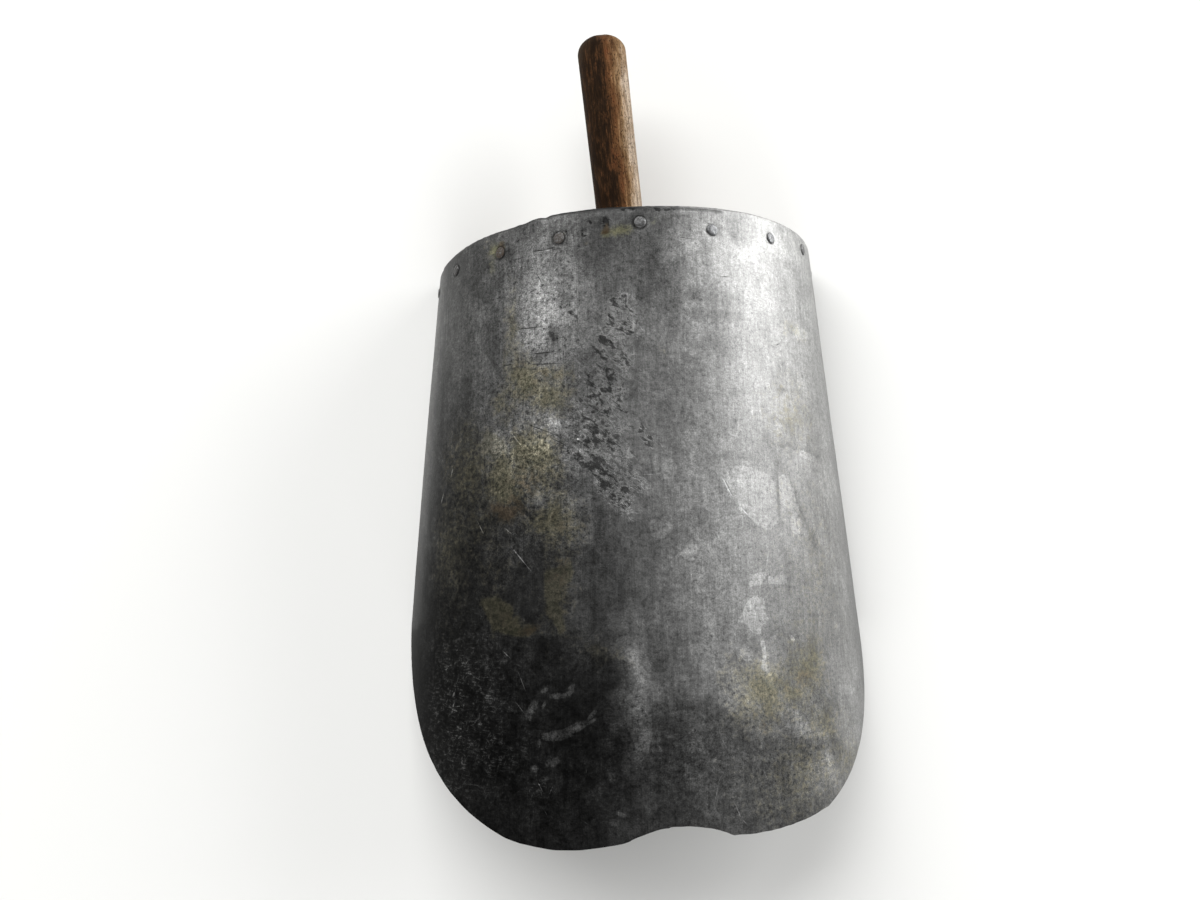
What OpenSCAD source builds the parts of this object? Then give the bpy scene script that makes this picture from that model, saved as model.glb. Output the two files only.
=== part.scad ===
// Grain scoop: one sheet of metal bent round a half-round wooden back board and nailed to it,
// with a round wooden handle wedged through the board. It stands open side down on the board's
// straight edge and the sheet's two side edges. X runs across the scoop, Y from mouth to handle.

/* [Sheet] */
// Outer radius of the sheet where it wraps the back board
back_r = 120; // [100:1:150]
// Outer radius that the sheet springs open to at the mouth
mouth_r = 154.5; // [140:0.5:180]
// Length of the sheet from the back rim to its right lobe
bowl_len = 336; // [280:1:410]
// Thickness of the sheet
sheet_t = 1; // [0.6:0.1:1.6]
// Width of the edge that is turned in over the back of the board
lip_w = 6; // [4:0.5:10]

/* [Mouth] */
// Distance from the middle of the sheet to the furthest point of the left lobe
left_lobe_x = 50; // [35:1:65]
// How much further than the right lobe the left lobe reaches
left_lobe_extra = 4.5; // [0:0.5:10]
// Radius of the left lobe on its outer side
left_lobe_r = 90; // [80:1:110]
// Distance from the middle of the sheet to the furthest point of the right lobe
right_lobe_x = 45; // [35:1:65]
// Radius of the right lobe, and of the left one towards the dip
lobe_r = 150; // [120:1:200]
// Place of the dip between the lobes, from the middle of the sheet
dip_x = 11; // [-20:1:20]
// Depth of the dip, from the right lobe
dip_depth = 6; // [2:0.5:12]
// Radius of the dip
dip_r = 60; // [40:1:120]
// Length over which the side edges lie flat, from the back rim
flat_len = 225; // [170:1:260]
// Radius of the sweep that lifts the side edges to the mouth
sweep_r = 219; // [150:1:300]
// Height at which the sweep runs into the lobes
sweep_h = 85; // [60:1:95]

/* [Back board] */
// Thickness of the back board
board_t = 22; // [18:0.5:30]
// Lean of the board's top towards the mouth, in degrees
board_lean = 2.6; // [0:0.1:5]
// Turn of the board out of square across the sheet, in degrees
board_skew = 2.3; // [0:0.1:4]

/* [Handle] */
// Length of the handle behind the board
handle_len = 141; // [110:1:180]
// Diameter of the handle at the board
handle_base_d = 28.4; // [26:0.2:36]
// Diameter of the handle at its thickest, near the end
handle_end_d = 31; // [28:0.5:40]
// Radius of the rounded end
end_round_r = 7; // [3:0.5:12]
// Height of the handle's axis above the board's straight edge
handle_h = 44.5; // [36:0.5:60]
// Distance of the handle's axis from the middle of the board, to the left
handle_left = 3; // [0:0.5:10]
// Lean of the handle to the left of square, in degrees
handle_lean = 2.2; // [0:0.1:4]
// Diameter of the tenon that passes through the board
tenon_d = 20; // [16:0.5:24]
// How far the tenon stands out inside the bowl
tenon_proud = 2.5; // [1:0.5:6]

/* [Wedge] */
// Clearance between the wedge's edges and the bore
wedge_edge = 0.6; // [0.2:0.1:2]
// Thickness of the wedge at its head
wedge_t = 4; // [2.5:0.1:5]
// Length of the wedge
wedge_len = 19; // [12:0.5:24]
// How far the wedge stands out of the tenon
wedge_proud = 1.5; // [0:0.5:3]

/* [Nails] */
// Number of nails round the rim
nail_count = 9; // [5:2:9]
// Angle from one nail to the next
nail_pitch = 20; // [14:0.5:20]
// Distance of the nails from the rim
nail_in = 12; // [9:0.5:16]
// Diameter of a nail's head
nail_head_d = 7.2; // [5:0.2:9]
// Height of a nail's head
nail_head_h = 1.4; // [0.8:0.1:2]
// Diameter of a nail's shank
nail_shank_d = 2.6; // [2:0.1:3.4]
// Length of a nail under its head
nail_len = 24; // [16:1:32]
// Length of a nail's point
nail_point = 4; // [2:0.5:6]

/* [Clearances] */
// Gap between the sheet and the board
board_gap = 0.1; // [0.05:0.05:0.4]
// Gap round the tenon, and between its shoulder and the board
tenon_gap = 0.1; // [0.05:0.05:0.3]
// Gap round the wedge in its slot
wedge_gap = 0.05; // [0.02:0.01:0.15]
// Gap round a nail's shank, and under its head
nail_gap = 0.05; // [0.02:0.01:0.15]

/* [Hidden] */
$fn = 96;

// The nails were driven by eye: how far each one sits from its even place, left to right.
// First its angle in degrees, then its distance towards the mouth in millimetres.
nail_wander = [[0, 0], [-0.6, -1.5], [0, 1], [-1.7, 1.3], [-0.2, -2.5],
    [-0.5, 1.4], [0.2, 0], [0.5, -3.5], [0, 0]];
middle_nail = (len(nail_wander) - 1) / 2;

// The sheet is a flat rectangle that is bent, so it lies on a cone. Its straight side edges
// then turn away from the cone's axis by a quarter turn of the flare, and lie flat on the
// ground once the axis is tipped by that much.
flare = (mouth_r - back_r) / bowl_len;
cone_angle = atan(flare);
axis_tilt = atan(flare * PI / 2);

// The origin is the middle of the board's straight edge, halfway through its thickness
rim_y = board_t / 2 + board_gap + sheet_t;
far = bowl_len + handle_len;
tall = 2 * back_r;

// How far the cutting cone runs past each end of the sheet
cone_spare = bowl_len / 5;

// Thin end of a nail's point and of the wedge, as a share of the thick end
thin_share = 1 / 4;

// How far the solid of the tenon runs into that of the handle
tenon_root = handle_len / 4;

// The board's plane, as slopes up and across in the cone's own frame
board_rise = tan(axis_tilt - board_lean);
board_run = tan(board_skew);

// The sweep is the circle through the end of the flat edge and the foot of the left lobe
left_reach = bowl_len + left_lobe_extra;
sweep_chord = norm([left_reach - flat_len, sweep_h]);
sweep_off = sqrt(pow(sweep_r, 2) - pow(sweep_chord / 2, 2));
sweep_y = -(left_reach + flat_len) / 2 + sweep_off * sweep_h / sweep_chord;
sweep_z = sweep_h / 2 + sweep_off * (left_reach - flat_len) / sweep_chord;

// Frame of the cone: its axis runs from the rim to the mouth along -Y
module cone_frame() {
    translate([0, rim_y, 0]) rotate([axis_tilt, 0, 0]) children();
}

// Frame of the board: X along its straight edge, Y through its thickness
module board_frame() {
    rotate([0, 0, board_skew]) rotate([board_lean, 0, 0]) children();
}

// Frame of the handle: Z along it, from the board's back face to its end
module handle_frame() {
    board_frame() translate([-handle_left, board_t / 2, handle_h])
        rotate([0, 0, handle_lean]) rotate([-90, 0, 0]) children();
}

// Solid cone, this much smaller than the outside of the sheet
module cone_solid(inset) {
    ahead = bowl_len + cone_spare;
    shrink = inset / cos(cone_angle);
    cone_frame() translate([0, cone_spare, 0]) rotate([90, 0, 0])
        cylinder(h = ahead + cone_spare, r1 = back_r - flare * cone_spare - shrink,
            r2 = back_r + flare * ahead - shrink);
}

// Half space in front of a plane that is parallel to the board
module before_board(y) {
    board_frame() translate([-far, y - far, -tall]) cube([2 * far, far, 2 * tall]);
}

// Slab above the ground
module above_ground() {
    translate([-far, -far, 0]) cube([2 * far, 2 * far, tall]);
}

// One side of a lobe in plan: a quarter disc that runs straight back to the board
module lobe_side(x, reach, r, side, width) {
    translate([x, r - reach]) mirror([side < 0 ? 1 : 0, 0]) intersection() {
        union() {
            circle(r);
            square([2 * r, reach]);
        }
        translate([0, -r]) square([width, reach + r]);
    }
}

// Outline of the mouth in plan: two lobes with a shallow dip between them
module mouth_plan() {
    difference() {
        union() {
            lobe_side(-left_lobe_x, left_reach, left_lobe_r, -1, mouth_r);
            lobe_side(-left_lobe_x, left_reach, lobe_r, 1, left_lobe_x + dip_x);
            lobe_side(right_lobe_x, bowl_len, lobe_r, -1, right_lobe_x - dip_x);
            lobe_side(right_lobe_x, bowl_len, lobe_r, 1, mouth_r);
            translate([-left_lobe_x, dip_depth - bowl_len]) square([left_lobe_x + right_lobe_x, bowl_len]);
        }
        translate([dip_x, dip_depth - bowl_len - dip_r]) circle(dip_r);
    }
}

// Outline of the sheet from the side: flat along the ground, then swept up to the lobes
module side_profile() {
    intersection() {
        union() {
            translate([sweep_y, sweep_z]) circle(sweep_r);
            translate([sweep_y, 0]) square([far, tall]);
        }
        translate([-far, 0]) square([2 * far, tall]);
    }
}

// The blank's outline, cut through the whole height and width
module blank() {
    intersection() {
        translate([0, rim_y, 0]) linear_extrude(tall) mouth_plan();
        translate([-far, rim_y, 0]) rotate([90, 0, 90]) linear_extrude(2 * far) side_profile();
        before_board(rim_y);
    }
}

// Place of one nail: square to the sheet, Z outwards
module nail_place(i) {
    wander = nail_wander[i + middle_nail];
    a = i * nail_pitch + wander.x;
    inset = nail_in + wander.y;
    slope = board_rise * cos(a) + board_run * sin(a);
    r = (back_r + flare * inset) / (1 + flare * slope);
    cone_frame() translate([r * sin(a), r * slope - inset, r * cos(a)])
        rotate([0, a, 0]) rotate([-cone_angle, 0, 0]) children();
}

module each_nail() {
    half = (nail_count - 1) / 2;
    for (i = [-half:half]) nail_place(i) children();
}

// Shank with its point, this much fatter than the nail
module nail_shank(gap) {
    r = nail_shank_d / 2 + gap;
    translate([0, 0, -nail_len - gap]) {
        cylinder(h = nail_point, r1 = r * thin_share, r2 = r);
        translate([0, 0, nail_point]) cylinder(h = nail_len + 2 * gap - nail_point, r = r);
    }
}

module nail() {
    dome_r = (pow(nail_head_d / 2, 2) + pow(nail_head_h, 2)) / (2 * nail_head_h);
    translate([0, 0, nail_gap]) {
        nail_shank(0);
        intersection() {
            translate([0, 0, nail_head_h - dome_r]) sphere(dome_r);
            cylinder(h = nail_head_h, d = nail_head_d);
        }
    }
}

// The wedge stands upright in the tenon, across the board's grain, thin end towards the handle
module wedge_shape(width, gap) {
    head = wedge_t / 2 + gap;
    tip = wedge_t / 2 * thin_share + gap;
    handle_frame() translate([0, 0, -board_t - tenon_proud - wedge_proud]) rotate([90, 0, 0])
        linear_extrude(width, center = true)
            polygon([[-head, 0], [head, 0], [tip, wedge_len + gap], [-tip, wedge_len + gap]]);
}

module scoop_sheet() {
    color("#8c9093") difference() {
        intersection() {
            cone_solid(0);
            blank();
        }
        intersection() {
            cone_solid(sheet_t);
            before_board(board_t / 2 + board_gap);
        }
        cone_solid(lip_w);
        each_nail() nail_shank(nail_gap);
    }
}

module back_board() {
    color("#7a5c3e") difference() {
        intersection() {
            cone_solid(sheet_t + board_gap);
            above_ground();
            before_board(board_t / 2);
        }
        before_board(-board_t / 2);
        handle_frame() translate([0, 0, -2 * board_t])
            cylinder(h = 3 * board_t, d = tenon_d + 2 * tenon_gap);
        each_nail() nail_shank(nail_gap);
    }
}

// Body of the handle: a taper to its thickest place, then a rounded end
module handle_body() {
    end_r = handle_end_d / 2;
    rotate_extrude() {
        polygon([[0, -board_t / 2], [handle_base_d / 2, -board_t / 2], [handle_base_d / 2, 0],
            [end_r, handle_len - end_round_r], [0, handle_len - end_round_r]]);
        translate([0, handle_len - end_round_r]) intersection() {
            union() {
                square([end_r - end_round_r, end_round_r]);
                translate([end_r - end_round_r, 0]) circle(end_round_r);
            }
            square([end_r, end_round_r]);
        }
    }
}

module handle() {
    color("#6b4630") difference() {
        union() {
            difference() {
                handle_frame() handle_body();
                before_board(board_t / 2 + tenon_gap);
            }
            handle_frame() translate([0, 0, -board_t - tenon_proud])
                cylinder(h = board_t + tenon_proud + tenon_root, d = tenon_d);
        }
        wedge_shape(2 * tenon_d, wedge_gap);
    }
}

module handle_wedge() {
    color("#9a7650") wedge_shape(tenon_d - 2 * wedge_edge, 0);
}

module rim_nails() {
    color("#7e8082") each_nail() nail();
}

scoop_sheet();
back_board();
handle();
handle_wedge();
rim_nails();
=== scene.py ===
import math
from functools import partial

import bmesh
import bpy
import numpy as np
from mathutils import Matrix, Vector


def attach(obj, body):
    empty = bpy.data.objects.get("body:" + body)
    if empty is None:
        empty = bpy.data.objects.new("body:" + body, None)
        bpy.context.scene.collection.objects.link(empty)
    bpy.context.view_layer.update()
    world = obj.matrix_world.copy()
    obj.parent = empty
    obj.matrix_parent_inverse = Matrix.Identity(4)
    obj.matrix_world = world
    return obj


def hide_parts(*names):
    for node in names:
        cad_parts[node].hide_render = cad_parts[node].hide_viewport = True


# Grain scoop: galvanised sheet bent round a half-round board, nailed on, with a wedged handle.
# Lengths here are millimetres in the frame's axes, and each mesh is scaled to metres as it is made.
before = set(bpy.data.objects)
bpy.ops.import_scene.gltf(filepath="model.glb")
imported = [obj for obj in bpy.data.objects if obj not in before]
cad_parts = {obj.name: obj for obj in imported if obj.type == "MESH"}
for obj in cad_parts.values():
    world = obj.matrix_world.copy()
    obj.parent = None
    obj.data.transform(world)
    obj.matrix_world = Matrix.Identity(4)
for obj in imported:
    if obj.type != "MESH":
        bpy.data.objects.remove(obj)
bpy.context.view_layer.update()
print("frame loaded:", ", ".join(sorted(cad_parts)))

mm = 0.001

# The build's own driving sizes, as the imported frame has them
build = dict(
    backR=120.0,        # outer radius of the sheet at the back rim
    mouthR=154.5,       # outer radius that it springs open to
    bowlLen=336.0,      # rim to right lobe
    sheetThick=1.0,
    boardThick=22.0,
    boardLean=2.6,      # degrees
    boardSkew=2.3,      # degrees
    boardGap=0.1,
    handleLen=141.0,
    handleHigh=44.5,    # handle's axis above the ground
    handleLeft=3.0,
    handleLean=2.2,     # degrees
    tenonR=10.0,
    tenonProud=2.5,
)

flare = (build["mouthR"] - build["backR"]) / build["bowlLen"]
axisTilt = math.atan(flare * math.pi / 2)
rimDepth = build["boardThick"] / 2 + build["boardGap"] + build["sheetThick"]


def linear(hexColour):
    # sRGB hex to linear RGBA: a straight toe, then a 2.4 power
    shown = np.array([int(hexColour[i:i + 2], 16) for i in (1, 3, 5)]) / 255
    curved = ((shown + 0.055) / 1.055) ** 2.4
    return (*np.where(shown <= 0.04045, shown / 12.92, curved).tolist(), 1.0)


def softNoise(x, y, size, seed):
    # random heights from -1 to 1 on a square lattice of this size, eased between its corners
    cells = 64
    lattice = np.random.default_rng(seed).uniform(-1, 1, (cells, cells))
    gridX, gridY = np.broadcast_arrays(np.asarray(x) / size, np.asarray(y) / size)
    lowX, lowY = np.floor(gridX).astype(int), np.floor(gridY).astype(int)
    easeX, easeY = ((g - low) ** 2 * (3 - 2 * (g - low)) for g, low in ((gridX, lowX), (gridY, lowY)))
    corner = [[lattice[(lowX + i) % cells, (lowY + j) % cells] for j in (0, 1)] for i in (0, 1)]
    near = corner[0][0] * (1 - easeX) + corner[1][0] * easeX
    far = corner[0][1] * (1 - easeX) + corner[1][1] * easeX
    return near * (1 - easeY) + far * easeY


def smooth(low, high, x):
    # 0 below low, 1 above high, and an S between them
    t = np.clip((x - low) / (high - low), 0, 1)
    return t * t * (3 - 2 * t)


def unit(v):
    # each vector over its own length
    return v / np.maximum(np.linalg.norm(v, axis=-1, keepdims=True), 1e-12)


def gridQuads(rows, columns, wrapRows=False, wrapColumns=False, start=0):
    # four corners of each cell of a grid of points that is stored row by row
    r = np.arange(rows if wrapRows else rows - 1)[:, None]
    c = np.arange(columns if wrapColumns else columns - 1)[None, :]
    r2, c2 = (r + 1) % rows, (c + 1) % columns
    corners = (r * columns + c, r * columns + c2, r2 * columns + c2, r2 * columns + c)
    return np.stack([k.ravel() for k in np.broadcast_arrays(*corners)], -1) + start


def buildPiece(name, points, quads, material, place=None, fields=None, wood=None, sharp=35):
    # points in millimetres become a mesh; doubled points are merged, and its faces point outwards
    a, b, c, d = (points[quads[:, i]] for i in range(4))
    volume = np.einsum("ij,ij->i", a, np.cross(b, c)).sum() + np.einsum("ij,ij->i", a, np.cross(c, d)).sum()
    if volume < 0:
        quads = quads[:, ::-1]
    mesh = bpy.data.meshes.new(name)
    mesh.vertices.add(len(points))
    mesh.vertices.foreach_set("co", (points * mm).astype(np.float32).ravel())
    mesh.loops.add(quads.size)
    mesh.loops.foreach_set("vertex_index", quads.astype(np.int32).ravel())
    mesh.polygons.add(len(quads))
    mesh.polygons.foreach_set("loop_start", np.arange(0, quads.size, 4, dtype=np.int32))
    mesh.update(calc_edges=True)
    if place is not None:
        layer = mesh.uv_layers.new(name="piecePlace")
        layer.uv.foreach_set("vector", (place[quads.ravel()] * mm).astype(np.float32).ravel())
    for field, values in (fields or {}).items():
        attribute = mesh.attributes.new(field, "FLOAT", "POINT")
        attribute.data.foreach_set("value", np.asarray(values, np.float32).ravel())
    if wood is not None:
        attribute = mesh.attributes.new("woodPlace", "FLOAT_VECTOR", "POINT")
        attribute.data.foreach_set("vector", (wood * mm).astype(np.float32).ravel())
    mergeDoubles(mesh)
    mesh.polygons.foreach_set("use_smooth", np.ones(len(mesh.polygons), bool))
    mesh.set_sharp_from_angle(angle=math.radians(sharp))
    mesh.materials.append(material)
    piece = bpy.data.objects.new(name, mesh)
    bpy.context.scene.collection.objects.link(piece)
    return piece


def mergeDoubles(mesh):
    # points that fall together at a pole or seam become one
    work = bmesh.new()
    work.from_mesh(mesh)
    bmesh.ops.remove_doubles(work, verts=work.verts, dist=1e-7)
    work.to_mesh(mesh)
    work.free()


def addNode(tree, kind, *inputs, out=0, **settings):
    # One shader node with its settings and links. Its inputs come in order, or in one dictionary by
    # name, each a value or the socket that feeds it. Gives the output socket that is asked for.
    node = tree.nodes.new("ShaderNode" + kind)
    for key, value in settings.items():
        setattr(node, key, value)
    named = inputs[0] if inputs and isinstance(inputs[0], dict) else dict(enumerate(inputs))
    for key, value in named.items():
        if isinstance(value, bpy.types.NodeSocket):
            tree.links.new(value, node.inputs[key])
        else:
            node.inputs[key].default_value = value
    return node.outputs[out] if node.outputs else node


# settings that many nodes share
times, plus, fused = dict(operation="MULTIPLY"), dict(operation="ADD"), dict(operation="MULTIPLY_ADD")
soft = dict(interpolation_type="SMOOTHSTEP")
blended = dict(data_type="RGBA", out=2)


def startMaterial(name):
    # an empty node material, its tree, and addNode for that tree
    material = bpy.data.materials.new(name)
    material.use_nodes = True
    material.node_tree.nodes.clear()
    return material, material.node_tree, partial(addNode, material.node_tree)


def patterns(tree, place, table, grainAxis=1):
    # Noises from -0.5 to 0.5, by name: size in mm, detail, roughness, turn in degrees, how many times
    # longer they are along the grain's axis, distortion
    made = {}
    for name, (size, detail, rough, turn, stretch, warp) in table.items():
        scale = [size * mm] * 3
        scale[grainAxis] = size * stretch * mm
        spun = addNode(tree, "Mapping", {"Vector": place, "Rotation": (0, 0, math.radians(turn)),
                                         "Scale": scale}, vector_type="TEXTURE")
        cloudy = addNode(tree, "TexNoise", {"Vector": spun, "Scale": 1.0, "Detail": detail,
                                            "Roughness": rough, "Distortion": warp})
        made[name] = addNode(tree, "Math", cloudy, 0.5, operation="SUBTRACT")
    return made


def addUp(tree, start, terms):
    # start plus each value times its weight
    for value, weight in terms:
        start = addNode(tree, "Math", value, weight, start, **fused)
    return start


def paintOver(tree, colour, layers):
    # each layer is a mask and the colour that covers what is there
    for mask, paint in layers:
        paint = linear(paint) if isinstance(paint, str) else paint
        colour = addNode(tree, "Mix", {0: mask, 6: colour, 7: paint}, **blended)
    return colour


# The cone that the bent sheet lies on, and the planes of the board

def fromCone(x, y, z):
    # the cone's own frame to the row frame: a turn about X by the tilt, then a step to the rim
    cosT, sinT = math.cos(axisTilt), math.sin(axisTilt)
    return np.stack(np.broadcast_arrays(x, rimDepth + y * cosT - z * sinT, y * sinT + z * cosT), -1)


def onCone(angle, along, inset=0.0):
    # the cone's radius grows evenly towards the mouth, which is along the axis' negative side
    radius = build["backR"] - flare * along - inset * math.hypot(1, flare)
    return fromCone(radius * np.sin(angle), along, radius * np.cos(angle))


def boardNormal():
    # square to the board's faces, pointing at the handle
    skew, lean = math.radians(build["boardSkew"]), math.radians(build["boardLean"])
    return np.array([-math.sin(skew) * math.cos(lean), math.cos(skew) * math.cos(lean), math.sin(lean)])


def alongAtBoard(angle, depth, inset=0.0):
    # where the cone's line at this angle meets the plane that is parallel to the board at this depth
    cosT, sinT = math.cos(axisTilt), math.sin(axisTilt)
    nx, ny, nz = boardNormal()
    ownY, ownZ = ny * cosT + nz * sinT, nz * cosT - ny * sinT
    slope = nx * np.sin(angle) + ownZ * np.cos(angle)
    radius = build["backR"] - inset * math.hypot(1, flare)
    return (depth - ny * rimDepth - slope * radius) / (ownY - flare * slope)


def groundAngle(along, inset=0.0):
    # angle from the crown at which the cone reaches the ground
    radius = build["backR"] - flare * along - inset * math.hypot(1, flare)
    return np.arccos(np.clip(-along * math.tan(axisTilt) / radius, -1, 1))


# The mouth's outline, as the frame has it

mouth = dict(
    leftX=-50.0, leftReach=340.5, leftR=90.0,       # left lobe: place, reach and outer radius
    rightX=45.0, rightReach=336.0, lobeR=150.0,     # right lobe, and both lobes towards the dip
    dipX=11.0, dipDepth=6.0, dipR=60.0,
    flatLen=225.0, sweepR=219.0, sweepHigh=85.0,    # side edges: flat, then swept up to the lobes
    within=-150.0, beyond=-400.0, halvings=40,      # where the search for the edge starts, and its rounds
)


def mouthFront(x):
    # plan view: two lobes of arcs, filled between, less the dip's circle
    def arc(centreX, reach, radius):
        return radius - reach - np.sqrt(np.maximum(radius ** 2 - (x - centreX) ** 2, 0))
    left = np.where(x < mouth["leftX"], arc(mouth["leftX"], mouth["leftReach"], mouth["leftR"]),
                    arc(mouth["leftX"], mouth["leftReach"], mouth["lobeR"]))
    lobes = np.where(x < mouth["dipX"], left, arc(mouth["rightX"], mouth["rightReach"], mouth["lobeR"]))
    between = (x > mouth["leftX"]) & (x < mouth["rightX"])
    floor = mouth["dipDepth"] - mouth["rightReach"]
    lobes = np.where(between, np.minimum(lobes, floor), lobes)
    inDip = np.abs(x - mouth["dipX"]) < mouth["dipR"]
    dip = floor - mouth["dipR"] + np.sqrt(np.maximum(mouth["dipR"] ** 2 - (x - mouth["dipX"]) ** 2, 0))
    return np.where(inDip, np.maximum(lobes, dip), lobes)


def sweepFloor(y):
    # side view: the circle through the end of the flat edge and the foot of the left lobe
    reach, flat, high, radius = (mouth[k] for k in ("leftReach", "flatLen", "sweepHigh", "sweepR"))
    chord = math.hypot(reach - flat, high)
    off = math.sqrt(radius ** 2 - (chord / 2) ** 2)
    centreY = -(reach + flat) / 2 + off * high / chord
    centreZ = high / 2 + off * (reach - flat) / chord
    low = centreZ - np.sqrt(np.maximum(radius ** 2 - (y - centreY) ** 2, 0))
    return np.where(y < centreY, low, 0.0)


def mouthAlong(across):
    # each column is halved again and again between a point inside the outline and one past it
    inner, outer = np.full_like(across, mouth["within"]), np.full_like(across, mouth["beyond"])
    for _ in range(mouth["halvings"]):
        middle = (inner + outer) / 2
        x, y, z = np.moveaxis(onCone(across * groundAngle(middle), middle), -1, 0)
        inside = (y - rimDepth > mouthFront(x)) & (z >= sweepFloor(y - rimDepth) - 1e-9)
        inner, outer = np.where(inside, middle, inner), np.where(inside, outer, middle)
    return (inner + outer) / 2


def rimAlong(across, rounds=12):
    # the rim's place depends a little on its angle at the ground, so it is found in a few rounds
    along = np.zeros_like(across)
    for _ in range(rounds):
        along = alongAtBoard(across * groundAngle(along), rimDepth)
    return along


def blankPlace(angle, along):
    # the sheet rolled out flat: distance across from the crown, and along from the rim's crown
    sinCone = flare / math.hypot(1, flare)
    slant = (build["backR"] - flare * along) / sinCone
    crown = (build["backR"] - flare * alongAtBoard(0.0, rimDepth)) / sinCone
    turn = angle * sinCone
    return slant * np.sin(turn), slant * np.cos(turn) - crown


# Marks on the sheet have their place on the flat blank: across from the crown, along from the rim

sheetLook = dict(
    lipWide=6.0, bendR=1.9,
    lipRagged=0.5, lipNicked=0.3, lipBuckle=0.35,           # unevenness of the hand-cut, hand-turned lip
    columns=250, crowding=0.03,                             # they crowd over this share at each side edge
    fineRows=34, fineStep=0.9, coarseRows=134, hold=0.35,   # rows by the rim, on to the mouth, by its edge
    mouthWorn=0.25, mouthRagged=0.35,                       # how far the mouth's edge is worn back
    waviness=0.16,                                          # unevenness of the hand-bent sheet
    nailDimple=0.28,                                        # depth of the ring that each nail drew in
)

# nails as the frame has them: angle from the crown in degrees, distance from the rim
nails = [
    (-80, 12), (-60.6, 10.5), (-40, 13), (-21.7, 13.3), (-0.2, 9.5), (19.5, 13.4), (40.2, 12),
    (60.5, 8.5), (80, 12),
]

# dark skin: the line that it starts at, and its strength, both by distance across; the strength is partly
# real skin and partly painted shade
tideLine = ([-150, -30, -5, 30, 50, 110, 160], [222, 230, 258, 264, 280, 292, 310])
skinAndShadeStrength = ([-160, -100, -45, -20, 0, 20, 40, 80, 110, 140],
                [1.1, 1.1, 0.98, 0.66, 0.5, 0.38, 0.3, 0.36, 0.26, 0.1])
# its strength down the left side, by distance along: partly real skin, partly painted shade of the unlit left
# side
leftSkinAndShade = ([0, 40, 130, 165, 190, 225], [0.48, 0.40, 0.62, 0.80, 0.95, 1.0])

# blobs: across, along, half width, half length, turn in degrees, strength; first the olive dirt
oliveBlobs = [
    (-80, 147, 15, 14, 20, 0.95), (-63, 137, 13, 19, -25, 0.85), (-88, 128, 12, 9, 0, 0.6),
    (-66, 93, 13, 11, 20, 0.95), (-52, 101, 11, 11, 0, 0.85), (-80, 103, 9, 9, 0, 0.6),
    (-52, 88, 10, 4, 0, 0.7), (-78, 66, 4.5, 32, 0, 0.6), (-72, 90, 7, 18, 0, 0.7),
    (-60, 122, 14, 12, 0, 0.4), (-49, 168, 13, 12, -30, 0.85), (-42, 176, 9, 10, 0, 0.6),
    (-50, 203, 11, 26, 8, 0.6), (-112, 138, 22, 24, 0, 0.65), (-127, 180, 20, 40, 0, 0.58),
    (-105, 168, 30, 22, 0, 0.5), (-27, 236, 16, 7, 30, 0.4), (-90, 192, 20, 14, 0, 0.4),
    (-90, 14, 5, 8, 0, 0.5), (92, 112, 26, 20, 0, 0.45), (104, 63, 16, 5, 0, 0.5),
    (84, 160, 18, 22, 0, 0.3), (57, 262, 20, 17, 0, 0.75), (88, 254, 18, 16, 0, 0.75),
    (106, 280, 20, 12, 0, 0.6), (76, 266, 24, 10, 0, 0.7), (85, 305, 36, 22, 0, 0.55),
    (120, 300, 22, 18, 0, 0.5), (105, 200, 34, 70, 0, 0.35), (12, 83, 2.5, 2.5, 0, 0.5),
    (95, 235, 30, 40, 0, 0.35),
]
# rust and rusty dirt
brownBlobs = [
    (-83, 162, 12, 6, 0, 1.0), (-68, 148, 14, 12, 0, 0.55), (-80, 219, 9, 7, 0, 0.5),
    (-68, 226, 5, 4, 0, 0.7), (-48, 198, 7, 14, 0, 0.5), (-47, 228, 4, 4, 0, 0.5),
    (57, 277, 6, 3.5, 0, 0.6), (87, 257, 9, 7, 0, 0.6), (72, 262, 8, 5, 0, 0.4), (-57, 92, 14, 5, 0, 0.5),
    (-71, 81, 3.5, 5, 0, 0.7), (-66, 100, 5, 4, 0, 0.5), (-85, 15, 3.4, 3.2, 0, 1.0),
    (-46, 13.5, 3.4, 3.4, 0, 0.6), (-20.5, 15.5, 2.4, 2.0, 0, 1.0), (-33, 19.5, 3, 2, 0, 0.5),
    (-44, 172, 5, 5, 0, 0.5),
]
# lime-yellow runs by the nails
yellowBlobs = [
    (-12, 14.0, 6.5, 2.8, -8, 0.95), (-19, 15.5, 3.2, 2.2, 0, 0.8), (7, 9.5, 2.6, 2.2, 0, 0.4),
    (-88.5, 14, 3.6, 4.4, 0, 0.9), (-90, 23, 3.2, 6, 8, 0.5),
]
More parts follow.
